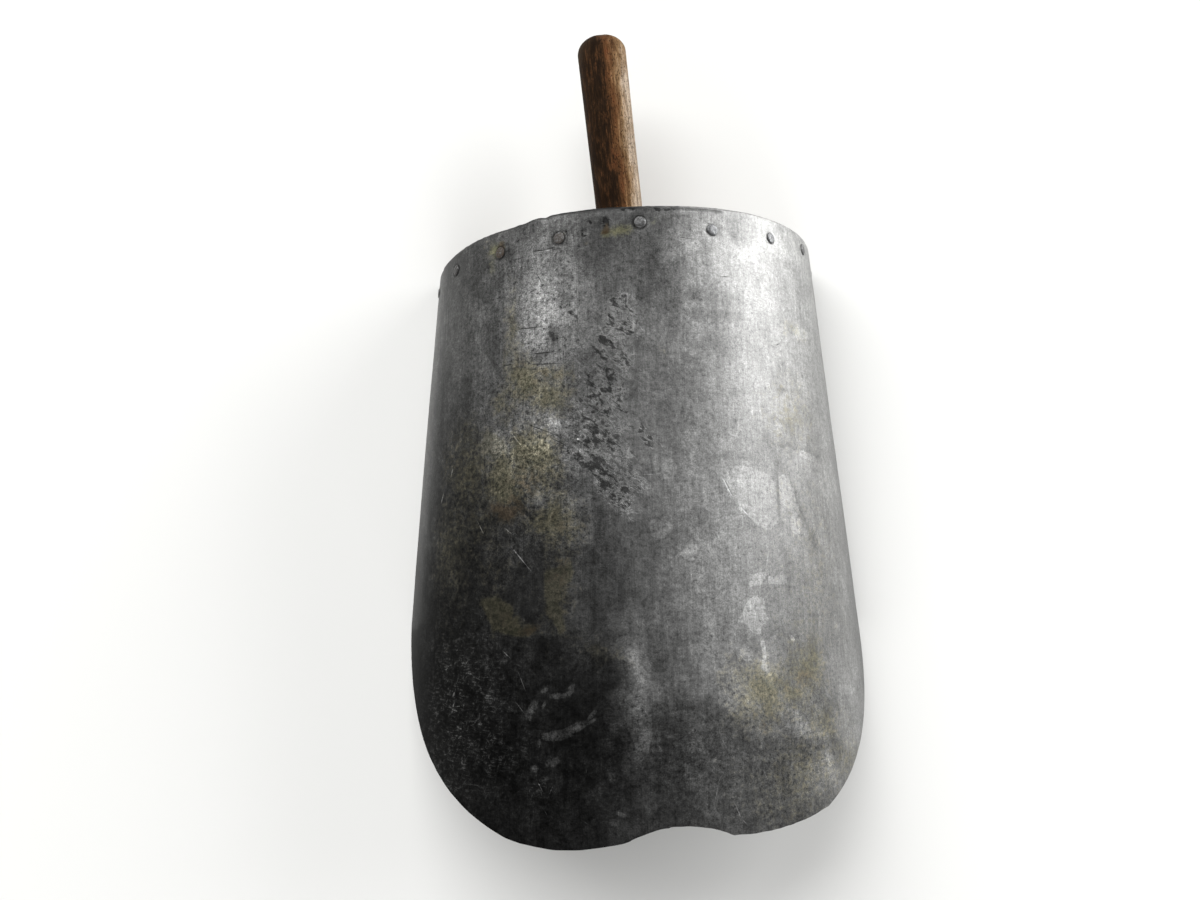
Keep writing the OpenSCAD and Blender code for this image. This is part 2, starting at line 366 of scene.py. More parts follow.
# blobs that only darken: smudges, and painted shade where the metal is to look darker
smudgeAndShadeBlobs = [
    (-22, 14, 22, 24, 0, 0.62), (-30, 100, 16, 44, 0, 0.26), (-60, 8, 14, 7, 0, 0.3),
    (-20, 50, 14, 30, 0, 0.34), (-24, 205, 12, 44, 0, 0.32), (-77, 19, 3, 4, 0, 0.4),
    (2, 30, 13, 26, 0, 0.36), (-60, 205, 24, 34, 0, 0.3), (70, 281, 26, 11, 0, 0.24),
    (60, 298, 13, 8, 0, 0.13), (115, 212, 24, 44, 0, 0.07), (-45, 150, 8, 9, 0, 0.3),
    (-108, 150, 22, 34, 0, 0.12), (-90, 100, 9, 6, 0, 0.1), (38, 50, 14, 3, 0, 0.12),
    (42, 60, 14, 2.5, 0, 0.12), (40, 76, 12, 5, 0, 0.1), (70, 108, 7, 5, 0, 0.08),
    (80, 190, 16, 40, 0, 0.1), (90, 245, 30, 34, 0, 0.2), (-70, 168, 20, 14, 0, 0.2),
    (58, 5, 10, 9, 0, 0.16), (82, 82, 14, 18, 0, 0.12), (0, 241, 14, 18, 0, 0.19),
    (-138, 245, 24, 40, 0, 0.26), (-88, 70, 4, 20, 0, 0.18), (-78, 36, 5, 12, 0, 0.16),
    (-86, 30, 24, 11, 0, 0.17), (-41, 110, 9, 10, 0, 0.24), (100, 134, 16, 8, 0, 0.1),
    (74, 165, 26, 34, 0, 0.17), (100, 270, 24, 14, 0, 0.27), (120, 92, 12, 16, 0, 0.06),
    (-36, 284, 18, 30, 0, 0.3), (-22, 290, 9, 18, 0, 0.3), (-22, 120, 13, 38, 0, 0.2),
    (42, 208, 12, 14, 0, 0.08), (-34, 200, 12, 40, 0, 0.2), (80, 202, 14, 20, 0, 0.2),
    (-2, 190, 10, 18, 0, 0.12), (-84, 292, 12, 14, 0, 0.2), (-57, 94, 20, 7, 0, 0.1),
    (-23, 238, 12, 17, 0, 0.37), (0, 292, 12, 14, 0, 0.22), (-20, 88, 14, 24, 0, 0.33),
    (-20, 150, 10, 12, 0, 0.28), (-20, 230, 10, 13, 0, 0.2), (-56, 234, 18, 10, 0, 0.27),
    (-122, 180, 14, 20, 0, 0.1), (6, 84, 12, 26, 0, 0.1), (-42, 195, 8, 30, 0, 0.1),
    (-42, 42, 4, 4, 0, 0.3), (-42, 50, 4, 3, 0, 0.35), (-50, 69, 3, 4, 0, 0.45), (-58, 80, 4, 3, 0, 0.4),
    (-76, 57, 3, 3, 0, 0.3),
]
# and what only lightens: pale dust, and painted light that widens the highlight on the right
paleAndLitBlobs = [
    (34, 190, 18, 52, 0, 0.24), (24, 80, 12, 50, 0, 0.08), (-88, 112, 15, 34, 0, 0.17),
    (-61, 66, 9, 22, 0, 0.17), (-84, 58, 14, 22, 0, 0.08), (-80, 206, 18, 12, 0, 0.12),
    (-60, 150, 12, 10, 0, 0.1), (-130, 150, 14, 16, 0, 0.07), (62, 92, 16, 14, 0, 0.06),
    (34, 105, 22, 20, 0, 0.05), (-62, 80, 4, 12, 0, 0.2), (-82, 190, 12, 13, 0, 0.2),
    (112, 8, 26, 18, 0, 0.17), (125, 70, 28, 60, 0, 0.1), (40, 305, 20, 16, 0, 0.12),
    (-11, 263, 7, 28, -4, 0.34), (-16, 238, 9, 5, 0, 0.06), (132, 150, 22, 40, 0, 0.1),
    (136, 265, 18, 16, 0, 0.14), (4, 290, 14, 14, 0, 0.05), (24, 28, 9, 12, 0, 0.2),
    (-136, 186, 10, 20, 0, 0.22), (-122, 75, 14, 40, 0, 0.1), (-58, 300, 14, 12, 0, 0.12),
    (104, 25, 12, 12, 0, 0.12), (40, 30, 10, 20, 0, 0.1), (125, 10, 12, 10, 0, 0.12),
    (87, 281, 6, 4, 20, 0.2), (103, 299, 4, 3, 0, 0.18), (62, 250, 4, 8, 0, 0.2), (-16, 14, 3, 6, 0, 0.1),
    (102, 312, 14, 8, 0, 0.22),
]
# dark lines, partly dirt and partly painted shade: points, half width, strength
darkAndShadeStrokes = [
    ([(70, 126), (78, 138), (87, 152), (94, 166), (104, 180), (112, 190)], 2.4, 0.12),
    ([(-4, 186), (12, 178), (28, 172), (42, 162)], 4, 0.08), ([(76, 138), (77, 176)], 0.8, 0.1),
    ([(22, 143), (34, 139), (46, 137), (60, 137)], 1.6, 0.08),
    ([(50, 102), (78, 99), (104, 97)], 1.0, 0.1), ([(70, 112), (80, 116), (90, 118)], 1.0, 0.08),
    ([(72, 131), (90, 129), (106, 130), (120, 133)], 1.0, 0.1),
    ([(-26, 163), (-27, 172), (-29.5, 184), (-31.5, 196), (-30, 208), (-31.5, 226)], 1.0, 0.15),
    ([(-44, 170), (-27, 169)], 0.9, 0.16), ([(-50, 188), (-42, 187), (-34, 185)], 1.4, 0.15),
    ([(50, 11), (53, 15), (56, 18)], 0.9, 0.12), ([(75, 33), (70, 38)], 0.9, 0.12),
    ([(22, 128), (21, 137)], 0.8, 0.16), ([(37, 150), (40, 158)], 1.2, 0.12),
    ([(18, 44), (17, 66)], 1.6, 0.06), ([(30, 48), (34, 66)], 1.6, 0.05),
    # the last three strokes run along the rim: painted shadow under the turned lip
    ([(105, 150), (108, 146)], 0.9, 0.12), ([(-150, 0), (-90, 0), (-40, 0)], 1.6, 0.5),
    ([(-40, 0), (0, 0), (20, 0)], 1.9, 0.45), ([(20, 0), (46, 0)], 1.2, 0.45),
]
# bumps that the rim has taken: distance across, and how far it is bent out
rimBumps = ([-150, -110, -88, -75, -68, -62, -57, -53.5, -50, -40, -30, -10, 0],
            [0.3, 0.9, 0.6, 0.0, 0.3, 1.1, 1.4, 0.6, 1.3, 1.1, 0.9, 0.3, 0.0])
# eaten hollows in the worn band, each a short stroke
pitStrokes = [
    ([(-25, 102), (-19, 101)], 1.4, 0.9), ([(-29, 104), (-24, 110), (-20, 116)], 1.5, 0.9),
    ([(-34, 117), (-29, 123), (-27, 128)], 2.2, 0.9), ([(-24, 124), (-18, 133)], 1.7, 0.9),
    ([(-38, 136), (-32, 143), (-25, 145)], 1.7, 1.0), ([(-30, 138), (-20, 147)], 1.5, 1.0),
    ([(-25, 151), (-18, 152), (-13, 155)], 1.6, 1.0), ([(-19, 158), (-12, 163)], 1.8, 0.9),
    ([(-16, 53), (-12, 51.5), (-9, 54)], 1.1, 0.9), ([(-21, 61), (-15, 65)], 1.5, 0.9),
    ([(-23, 73), (-18, 75)], 1.5, 0.9), ([(-12, 67), (-7, 71)], 1.4, 0.9),
    ([(-27, 79), (-23, 85)], 1.7, 0.9), ([(-22, 92), (-18, 96)], 1.9, 0.9),
    ([(-14, 83), (-10, 88)], 1.5, 0.9), ([(-30, 94), (-26, 101)], 1.7, 0.8),
    ([(-33, 128), (-30, 133)], 1.5, 0.8), ([(-16, 108), (-12, 114)], 1.5, 0.8),
    ([(-11, 122), (-10, 123)], 1.2, 1.0), ([(-3, 124), (1, 131)], 2.2, 0.8),
    ([(-20, 8), (-19, 9.5)], 1.9, 1.0), ([(-31, 13), (-31, 14.6)], 1.2, 1.0),
    ([(-28, 8), (-28, 8.5)], 1.1, 0.8), ([(-10, 1.6), (-8, 1.4)], 1.2, 1.0),
    ([(-5.5, 1), (-4.6, 1.6)], 1.2, 1.0), ([(-2.6, 0.6), (-2, 1.2)], 0.9, 0.9),
    ([(9, 1.6), (9.6, 2.2)], 1.2, 1.0), ([(13, 2.6), (14, 2.4)], 1.0, 0.9),
    ([(16.5, 1.2), (18, 1.6)], 1.1, 0.9), ([(-41, 10), (-41, 12)], 0.8, 0.7),
    ([(-66, 105), (-67, 108.5)], 0.9, 1.0), ([(-65, 110), (-67, 111)], 0.6, 0.8),
    ([(-86, 80), (-84, 83)], 0.9, 0.7), ([(-52, 69), (-50, 71)], 1.2, 0.8),
    ([(-40, 58), (-37, 61)], 1.2, 0.7),
]
# the band itself, where the zinc is pitted all over
pitBlobs = [
    (-13, 56, 8, 7, 0, 0.95), (-11, 67, 8, 8, 0, 0.95), (-19, 75, 9, 8, 0, 0.9), (-19, 88, 10, 9, 0, 0.9),
    (-22, 103, 9, 9, 0, 0.9), (-26, 120, 13, 9, 40, 1.0), (-25, 136, 16, 9, 30, 1.0),
    (-16, 150, 12, 8, 25, 1.0), (-14, 161, 6, 7, 0, 0.8), (-60, 128, 10, 12, 0, 0.5),
]
# where the surface is finely flecked, dark on light
fleckBlobs = [
    (-56, 50, 24, 36, 0, 1.0), (-62, 92, 22, 18, 0, 0.9), (-66, 138, 24, 22, 0, 1.0),
    (-36, 110, 10, 30, 0, 0.6), (-46, 170, 14, 16, 0, 0.7), (-80, 160, 16, 8, 0, 0.6),
    (60, 262, 26, 20, 0, 0.6), (88, 262, 22, 24, 0, 0.6), (88, 298, 30, 20, 0, 0.5),
    (-10, 270, 8, 40, 0, 0.6), (-80, 222, 14, 10, 0, 0.6), (30, 20, 30, 14, 0, 0.35),
    (60, 75, 26, 34, 0, 0.35), (-50, 205, 12, 20, 0, 0.6), (14, 290, 36, 26, 0, 0.6),
    (64, 304, 34, 22, 0, 0.6),
]
# where small light scribbles cross the dark skin
abradedBlobs = [
    (-118, 270, 36, 42, 0, 1.15), (-90, 290, 24, 22, 0, 0.9), (-62, 306, 9, 9, 0, 0.8),
    (-40, 300, 40, 22, 0, 0.35), (-9, 268, 6, 34, 0, 0.42), (-22, 285, 12, 30, 0, 0.5),
    (20, 285, 26, 24, 0, 0.4), (88, 286, 16, 14, 0, 0.4), (100, 302, 16, 8, 0, 0.35),
    (62, 250, 6, 14, 0, 0.3), (-135, 240, 16, 30, 0, 0.6), (-60, 262, 30, 26, 0, 0.2),
    (-45, 322, 60, 6, 0, 0.4), (-108, 226, 8, 12, 0, 0.4),
]
# where the mottle stands out most: the worn left side, and the crown and mouth
brightBlobs = [(-66, 132, 26, 34, 0, 1)]
crownBlobs = [(0, 30, 26, 26, 0, 1), (0, 300, 44, 24, 0, 1), (80, 295, 34, 24, 0, 1)]
# sharp-edged patches: outline as (across, along) points, and how pale
palePatches = [
    ([(40, 149), (47, 142), (58, 143), (72, 147), (76, 153), (75.5, 172), (69, 177), (61, 175), (53, 168),
      (46, 160)], 0.2),
    ([(78, 147), (84, 145), (88, 152), (91, 160), (95, 168), (90, 168), (84, 166), (78, 167)], 0.24),
    ([(88, 168), (93, 171), (92, 181), (86, 178), (84, 171)], 0.22),
    ([(14.5, 189), (18, 184.5), (24, 184), (24, 189), (22, 193), (17, 191.5)], 0.42),
    ([(-1, 172), (3, 170), (7, 173), (13, 172), (11, 177), (6, 181), (0, 180)], 0.3),
    ([(52, 207), (57, 200), (66, 199), (61, 206)], 0.3),
    ([(65, 201), (80, 201), (79, 206), (66, 206)], 0.26),
    ([(45, 225), (52, 214), (58, 211), (63, 214), (63, 221), (66, 225), (60, 227), (59, 232), (54, 231),
      (50, 226)], 0.4),
    ([(45, 239), (49, 236), (53, 239), (54, 244), (49, 246), (46, 242)], 0.4),
    ([(58, 236), (61, 234), (62, 243), (62, 249), (66, 254), (62, 253), (58, 249), (60, 242)], 0.5),
    ([(78, 233), (81, 233), (84, 237), (80, 236)], 0.5),
    ([(84, 283), (87, 279), (89, 281), (92, 287), (88, 289), (85, 287)], 0.14),
    ([(100, 296), (104, 297), (107, 301), (103, 304), (101, 300)], 0.12),
    ([(-108, 44), (-104, 38), (-98, 42), (-96, 50), (-99, 55), (-102, 60), (-100, 70), (-106, 62),
      (-109, 52)], 0.2),
    ([(98, 131), (114, 133), (113, 137), (98, 135)], 0.25),
    ([(-17, 237), (-9, 235), (-2, 243), (-3, 253), (-6, 261), (-3, 267), (-3, 281), (-6, 291), (-10, 293),
      (-12, 285), (-17, 271), (-17, 262), (-11, 257), (-11, 247)], 0.2),
    ([(-101, 124), (-97, 120), (-90, 121), (-88, 117), (-83, 122), (-78, 127), (-80, 132), (-86, 133),
      (-88, 138), (-94, 134), (-99, 131)], 0.24),
    ([(-62, 118), (-52, 112), (-46, 118), (-50, 128), (-56, 133), (-63, 128)], 0.22),
    ([(6, 143), (11, 138), (15, 143), (13, 150), (8, 150)], 0.25),
    ([(-126, 194), (-119, 192), (-117, 204), (-122, 210), (-127, 205)], 0.16),
    ([(100, 60), (124, 57), (126, 61), (104, 66)], 0.25),
    ([(118, 262), (142, 264), (140, 269), (122, 268)], 0.2),
]
# patches of dirty olive deposit with a sharp lower edge
olivePatches = [
    ([(-99, 208), (-94, 205), (-86, 206), (-80, 212), (-77, 218), (-72, 217), (-68, 222), (-65, 226),
      (-67, 230), (-80, 228.5), (-93, 228), (-93, 217), (-98, 213)], 1.0),
    ([(-101, 122), (-93, 117), (-84, 122), (-78, 131), (-80, 140), (-88, 137), (-95, 133)], 0.6),
    ([(-57, 196), (-44, 190), (-41, 200), (-47, 208), (-44, 226), (-50, 230), (-56, 214)], 0.8),
    ([(-38, 231), (-26, 233), (-22, 243), (-30, 240)], 0.35),
]

# dents: across, along, radius, depth
dents = [
    (-20, 9, 3.2, 0.6), (-31, 13.5, 2.8, 0.5), (-28, 8, 2.2, 0.35), (-52, 21, 4.2, 0.25),
    (53, 14, 4.0, 0.3), (-95, 62, 26, 0.45), (-60, 190, 34, 0.5), (72, 150, 30, 0.55),
    (112, 235, 26, 0.6), (20, 225, 38, 0.35), (-20, 110, 22, 0.25), (60, 215, 14, 0.3),
    (-110, 265, 24, 0.4), (95, 130, 18, 0.35), (140, 262, 16, 0.6), (30, 60, 30, 0.25),
]


def blobField(across, along, blobs, lowest=0.0):
    # highest of many soft ellipses: 1 at a middle, falling in a straight line to 0 at twice its size
    field = np.full_like(across, lowest)
    for x, y, wide, long, turn, strength in blobs:
        cosA, sinA = math.cos(math.radians(turn)), math.sin(math.radians(turn))
        dx, dy = across - x, along - y
        far = np.hypot((dx * cosA + dy * sinA) / wide, (dy * cosA - dx * sinA) / long)
        field = np.maximum(field, strength * (1 - far / 2))
    return field


def legDistance(across, along, start, end):
    # distance from a straight leg, at the share of it that lies nearest
    (x1, y1), (x2, y2) = start, end
    share = ((across - x1) * (x2 - x1) + (along - y1) * (y2 - y1)) / ((x2 - x1) ** 2 + (y2 - y1) ** 2)
    share = np.clip(share, 0, 1)
    return np.hypot(across - x1 - share * (x2 - x1), along - y1 - share * (y2 - y1))


def strokeField(across, along, strokes):
    # as blobField, by distance from the nearest leg of a line
    field = np.zeros_like(across)
    for points, wide, strength in strokes:
        for start, end in zip(points, points[1:]):
            far = legDistance(across, along, start, end) / wide
            field = np.maximum(field, strength * np.clip(1 - far / 2, 0, 1))
    return field


def patchField(across, along, patches, soft=4.0):
    # two fields: a half at a patch's outline and rising inwards, and the strength of the patch there
    shape, how = np.zeros_like(across), np.zeros_like(across)
    for outline, strength in patches:
        far, inside = np.full_like(across, 1e3), np.zeros(across.shape, bool)
        for (x1, y1), (x2, y2) in zip(outline, outline[1:] + outline[:1]):
            far = np.minimum(far, legDistance(across, along, (x1, y1), (x2, y2)))
            crosses = (y1 > along) != (y2 > along)
            rise = y2 - y1 if y2 != y1 else 1e-9
            inside ^= crosses & (across < x1 + (along - y1) * (x2 - x1) / rise)
        value = np.clip(0.5 + np.where(inside, far, -far) / soft, 0, 1)
        how = np.where(value > shape, strength, how)
        shape = np.maximum(shape, value)
    return shape, how


def skinAndShade(across, along, raggedX, raggedY):
    # grows past the ragged tide line, at once and then slowly, and down the whole left side, partly real skin
    # and partly painted shade; smudges and painted shade are added, and pale dust and painted light taken off
    ragged = 5 * softNoise(across, along, 14, 45) + 2.5 * softNoise(across, along, 5, 46)
    past = along + ragged - np.interp(across, *tideLine)
    skin = np.interp(across, *skinAndShadeStrength) * (0.5 * smooth(-5, 5, past) + 0.5 * smooth(-26, 40, past))
    left = np.interp(along, *leftSkinAndShade) * smooth(20, -125, across) * (1 - 0.5 * smooth(-135, -170, across))
    smudgesAndShade = blobField(across, along, smudgeAndShadeBlobs) + strokeField(across, along, darkAndShadeStrokes)
    # painted shade: the far right is made darker to dim the highlight there
    smudgesAndShade = smudgesAndShade + 0.2 * smooth(138, 176, across)
    return np.maximum(skin, left) + smudgesAndShade - blobField(raggedX, raggedY, paleAndLitBlobs)


def liveliness(across, along):
    # how strongly the surface is mottled: most on the worn left half, least at the right
    upper = 0.5 * smooth(-10, -50, across) * smooth(215, 175, along)
    lower = 0.5 * smooth(-15, -70, across) * smooth(215, 245, along)
    bright = 0.6 * blobField(across, along, brightBlobs)
    return 1 + upper + bright + lower + 0.3 * blobField(across, along, crownBlobs)


def nailSpots():
    # each nail's place on the blank, from its angle and its distance along the cone from the rim
    spots = []
    for degrees, inset in nails:
        angle = math.radians(degrees)
        x, y = blankPlace(angle, alongAtBoard(angle, rimDepth) - inset)
        spots.append((float(x), float(y)))
    return spots


def sheetRelief(across, along, inRim):
    # height of the sheet's own unevenness: long waves, dents, and a dimple round each nail
    relief = 0.6 * softNoise(across, along, 46, 3) + 0.4 * softNoise(across, along, 21, 4)
    relief = sheetLook["waviness"] * (relief - 1) * smooth(18, 60, along)
    for x, y, radius, depth in dents:
        relief -= depth * np.exp(-((across - x) ** 2 + (along - y) ** 2) / (radius * 0.6) ** 2)
    for x, y in nailSpots():
        far = np.hypot(across - x, along - y)
        relief -= sheetLook["nailDimple"] * np.exp(-((far - 2.6) / 2.2) ** 2)
    return relief * (1 - inRim)


def turnedLip(rim, rimX, down, inward):
    # The bend is a quadratic curve from the wall to the lip, with the sharp rim as its control point.
    # The lip runs inwards from it, ragged at its inner edge and a little buckled.
    look = sheetLook
    k = np.linspace(1, 0, 7)[:, None, None]
    bendStart, bendEnd = rim + down * look["bendR"], rim + inward * look["bendR"]
    bend = (1 - k) ** 2 * bendStart + 2 * k * (1 - k) * rim + k ** 2 * bendEnd
    ragged = look["lipRagged"] * softNoise(rimX, 0, 5, 21) + look["lipNicked"] * softNoise(rimX, 0, 1.7, 22)
    lipWide = (look["lipWide"] + ragged - look["bendR"])[:, None]
    outTo = np.array([1.0, 0.93, 0.7, 0.5])[:, None, None]
    lip = rim + inward * (look["bendR"] + lipWide * outTo)
    buckle = (outTo[..., 0] * look["lipBuckle"] * np.abs(softNoise(rimX, 0, 6.5, 23)))[..., None]
    return np.concatenate([lip + buckle * boardNormal(), bend[:-1]])


def sheetMarks(placeX, placeY, inside):
    # the marks' fields; their edges are ragged because noise shifts the place before they are drawn
    raggedX = placeX + 3.0 * softNoise(placeX, placeY, 9, 41) + 1.2 * softNoise(placeX, placeY, 3.5, 42)
    raggedY = placeY + 3.0 * softNoise(placeX, placeY, 9, 43) + 1.2 * softNoise(placeX, placeY, 3.5, 44)
    oliveX = raggedX + 6 * softNoise(placeX, placeY, 19, 47)
    oliveY = raggedY + 6 * softNoise(placeX, placeY, 19, 48)
    outside = 1 - inside
    paleShape, paleHow = patchField(placeX, placeY, palePatches)
    oliveShape, oliveHow = patchField(raggedX, raggedY, olivePatches, 6.0)
    return dict(
        dark=skinAndShade(placeX, placeY, raggedX, raggedY) * outside + 0.25 * inside,
        olive=blobField(oliveX, oliveY, oliveBlobs, -1.0) - inside,
        oliveShape=oliveShape * outside, oliveHow=oliveHow,
        brown=blobField(raggedX, raggedY, brownBlobs, -1.0) - inside,
        yellow=blobField(placeX, placeY, yellowBlobs, -1.0) - inside,
        paleShape=paleShape * outside, paleHow=paleHow,
        pitted=blobField(raggedX, raggedY, pitBlobs, -1.0) - inside,
        pit=strokeField(placeX, placeY, pitStrokes) * outside,
        lively=liveliness(placeX, placeY),
        flecked=np.maximum(blobField(placeX, placeY, fleckBlobs), 0.25) * outside + 0.3 * inside,
        abraded=blobField(placeX, placeY, abradedBlobs) * outside,
        inside=inside,
    )


def makeSheet(material):
    # Columns are lines up the cone, even in angle and closer by the side edges. Rows run from the
    # lip's inner edge, over the bend at the rim, down to the mouth. The inner wall is the outer one
    # moved inwards by the thickness.
    look = sheetLook
    even = np.linspace(-1, 1, look["columns"])
    fromSide = 1 - np.abs(even)
    across = np.sign(even) * (1 - fromSide ** 2 / (fromSide + look["crowding"]) * (1 + look["crowding"]))
    start, end = rimAlong(across), mouthAlong(across)
    nibbled = np.abs(softNoise(across * 190, 0, 7, 11)) * (1 - np.abs(across) ** 8)
    end = end + look["mouthWorn"] + look["mouthRagged"] * nibbled

    fine = look["bendR"] + look["fineStep"] * np.arange(look["fineRows"])
    length = start.max() - end.min()
    coarse = np.linspace(fine[-1], length - look["hold"], look["coarseRows"])[1:]
    shares = np.concatenate([fine, coarse, [length]])[:, None] / length
    along = start + (end - start) * shares
    angle = across * groundAngle(along)
    wall = onCone(angle, along)
    placeX, placeY = blankPlace(angle, along)

    rimAngle = across * groundAngle(start)
    rim = onCone(rimAngle, start)
    rimX, rimY = blankPlace(rimAngle, start)
    inward = unit(np.cross(boardNormal(), unit(np.gradient(rim, axis=0))))
    inward = inward * np.sign((inward * (np.array([0, rim[:, 1].mean(), 0]) - rim)).sum(-1, keepdims=True))
    lip = turnedLip(rim, rimX, unit(wall[0] - rim), inward)
    outer = np.concatenate([lip, wall])
    lipRows = len(lip)
    back = np.linspace(-1, 0, lipRows + 1)[:-1, None] * (look["lipWide"] - 1)
    placeX = np.concatenate([np.broadcast_to(rimX, (lipRows, len(rimX))), placeX])
    placeY = np.concatenate([rimY + back, placeY])

    inRim = np.zeros(placeX.shape)
    inRim[:lipRows] = 1
    inRim[lipRows:] = 1 - smooth(0, 5, fine[0] + (along[0] - along))
    normal = unit(np.cross(np.gradient(outer, axis=1), np.gradient(outer, axis=0)))
    normal *= np.sign((normal[-1] * onCone(angle[-1], 0 * along[-1], -1)).sum(-1).mean())
    hammered = 0.12 * softNoise(placeX, placeY, 4.2, 31) + 0.1 * softNoise(placeX, placeY, 2.1, 32) - 0.15
    relief = sheetRelief(placeX, placeY, inRim) + hammered * inRim * smooth(-7, -3, placeY - rimY.mean())
    bumped = np.interp(placeX, *rimBumps) * inRim
    outer = outer + normal * relief[..., None] + bumped[..., None] * boardNormal()
    inner = outer - normal * build["sheetThick"]
    outer[..., 2], inner[..., 2] = np.maximum(outer[..., 2], 0), np.maximum(inner[..., 2], 0)

    rows, columns = outer.shape[:2]
    count = rows * columns
    number = np.arange(count).reshape(rows, columns)
    ring = np.concatenate([number[0, :-1], number[:-1, -1], number[-1, :0:-1], number[:0:-1, 0]])
    following = np.roll(ring, -1)
    quads = np.concatenate([
        gridQuads(rows, columns),
        gridQuads(rows, columns, start=count)[:, ::-1],
        np.stack([following, ring, ring + count, following + count], -1),
    ])
    points = np.concatenate([outer.reshape(-1, 3), inner.reshape(-1, 3)])
    placeX, placeY = np.tile(placeX.ravel(), 2), np.tile(placeY.ravel(), 2)
    fields = sheetMarks(placeX, placeY, np.repeat([0.0, 1.0], count))
    return buildPiece("scoopSheet", points, quads, material, np.stack([placeX, placeY], -1), fields)


# The sheet's finish. Fine marks are thin ellipses: across, along, turn in degrees, half length,
# half width, strength; first the light scratches
scratches = [
    (-73, 125, 50, 8, 0.45, 1.0), (-71.5, 189, 48, 12.5, 0.35, 1.0), (-73, 187, 48, 9, 0.25, 0.7),
    (-99, 171, 56, 7.5, 0.35, 0.7), (-101, 168, 50, 5, 0.3, 0.5), (-79, 174, 36, 7, 0.3, 0.5),
    (-74, 176, 40, 5, 0.25, 0.4), (-81, 239, 38, 6, 0.4, 0.5), (-73, 266, 48, 7, 0.3, 0.6),
    (-71.5, 253, 66, 12, 0.45, 0.5), (20.5, 200, 90, 4, 0.3, 0.7), (29, 311, 105, 8, 0.4, 0.6),
    (31.5, 303, 120, 3.5, 0.35, 0.5), (40.5, 319, 68, 6, 0.45, 0.8), (44, 325, 45, 3, 0.4, 0.6),
    (57.5, 303, 65, 5, 0.3, 0.6), (66, 193, 100, 5, 0.6, 0.7), (43, 154, 62, 9, 0.7, 0.7),
    (53, 167, 42, 6, 0.7, 0.5), (-64, 137, 65, 6, 0.4, 0.6), (-57, 128, 20, 9, 0.3, 0.5),
    (0, 147, 0, 9, 0.4, 0.5), (-37, 127, 0, 1.6, 0.5, 1.0), (-137, 151, 115, 4.5, 0.9, 1.0),
    (-126, 137, 112, 4.5, 0.7, 0.8), (-70, 221, 60, 2.6, 1.4, 0.3), (-37, 297, 90, 3, 0.25, 0.5),
    (-52, 21, 0, 6, 0.4, 0.5), (28, 2.3, -4, 7, 0.35, 0.9), (-62, 305, 60, 6, 0.3, 0.6),
    (-56, 307, 115, 5, 0.3, 0.5), (-59, 318, 60, 4, 0.3, 0.5), (-38, 322, 30, 6, 0.3, 0.4),
    (25, 133, 5, 14, 0.4, 0.3), (-98, 30, 10, 8, 0.5, 0.3), (-75, 27, 5, 6, 0.6, 0.5),
    (70, 254, 30, 6, 0.5, 0.5), (95, 270, 70, 5, 0.4, 0.3), (-118, 237, 0, 8, 0.3, 0.5),
    (-95, 251, -3, 8, 0.3, 0.5), (-103, 307, 0, 9, 0.3, 0.5), (10, 118, 80, 7, 0.3, 0.25),
    (36, 88, 30, 8, 0.3, 0.3),
]
# smears of paler dust on the dark skin
smears = [
    (-52, 279.6, -8, 11, 3.2, 1.0), (-42.5, 276, -24, 9, 2.9, 0.95), (-33.5, 269.6, -46, 5, 1.4, 0.75),
    (-34, 272.8, -30, 4, 1.2, 0.6), (-66, 267, -64, 7.5, 3.2, 0.62), (-51, 259.8, -4, 6, 2.2, 0.66),
    (-44.2, 256.8, -66, 5, 2.1, 0.6), (-58.5, 257, -20, 3.2, 1.6, 0.45), (-59, 264.5, -60, 3, 1.5, 0.4),
    (-54.5, 293, -16, 6.5, 3.2, 0.45), (-65, 296.4, 10, 3.6, 2.6, 0.45), (-62, 284, -80, 4, 1.6, 0.3),
    (-24, 300, 70, 5, 3, 0.3), (-20, 318, 20, 5, 2, 0.35),
]
# dark creases and scores: partly dirt in them, partly painted shade
creases = [
    (-57, 78.5, 1, 13, 0.5, 0.8), (-79, 82.3, 0, 5, 0.6, 1.0), (-55, 84.8, 5, 12, 0.5, 1.0),
    (-60, 87, 2, 10, 0.4, 0.7), (-65, 63.5, 3, 11, 0.5, 0.8), (-68, 72, 5, 8, 0.4, 0.6),
    (-58, 36, 62, 6, 0.4, 0.8), (-57, 121, 24, 17, 0.4, 0.8), (-48, 128, 30, 9, 0.4, 0.7),
    (-72, 80, 80, 4, 0.8, 0.6), (-57, 20.5, 3, 7, 0.35, 1.0), (-50, 20.2, 2, 2.6, 0.4, 1.0),
    (24, 18, 4, 8, 0.4, 0.6), (47, 38, -8, 5, 0.5, 0.6), (84, 72, -25, 2.2, 0.5, 0.8),
    (-95, 82, 3, 12, 0.3, 0.4), (-104, 90, 4, 10, 0.3, 0.4), (-55, 39, 60, 8, 0.3, 0.5),
    (-36, 60, 92, 14, 0.3, 0.4), (10, 280, 0, 12, 0.3, 0.4), (8, 271, 2, 9, 0.3, 0.3),
    (60, 225, 0, 10, 0.3, 0.3), (-10, 88, 70, 8, 0.4, 0.4),
]


def lineMarks(tree, place, marks):
    # each mark turns and scales the place so that its thin ellipse is a unit circle; the highest shows
    total = 0.0
    for x, y, turn, halfLong, halfWide, strength in marks:
        spot = addNode(tree, "Mapping", {"Vector": place, "Location": (x * mm, y * mm, 0),
                                         "Rotation": (0, 0, math.radians(turn)),
                                         "Scale": (halfLong * mm, halfWide * mm, 1)}, vector_type="TEXTURE")
        fall = addNode(tree, "TexGradient", spot, gradient_type="SPHERICAL", out=1)
        drawn = addNode(tree, "Math", fall, strength, **times)
        total = addNode(tree, "Math", drawn, total, operation="MAXIMUM")
    return total


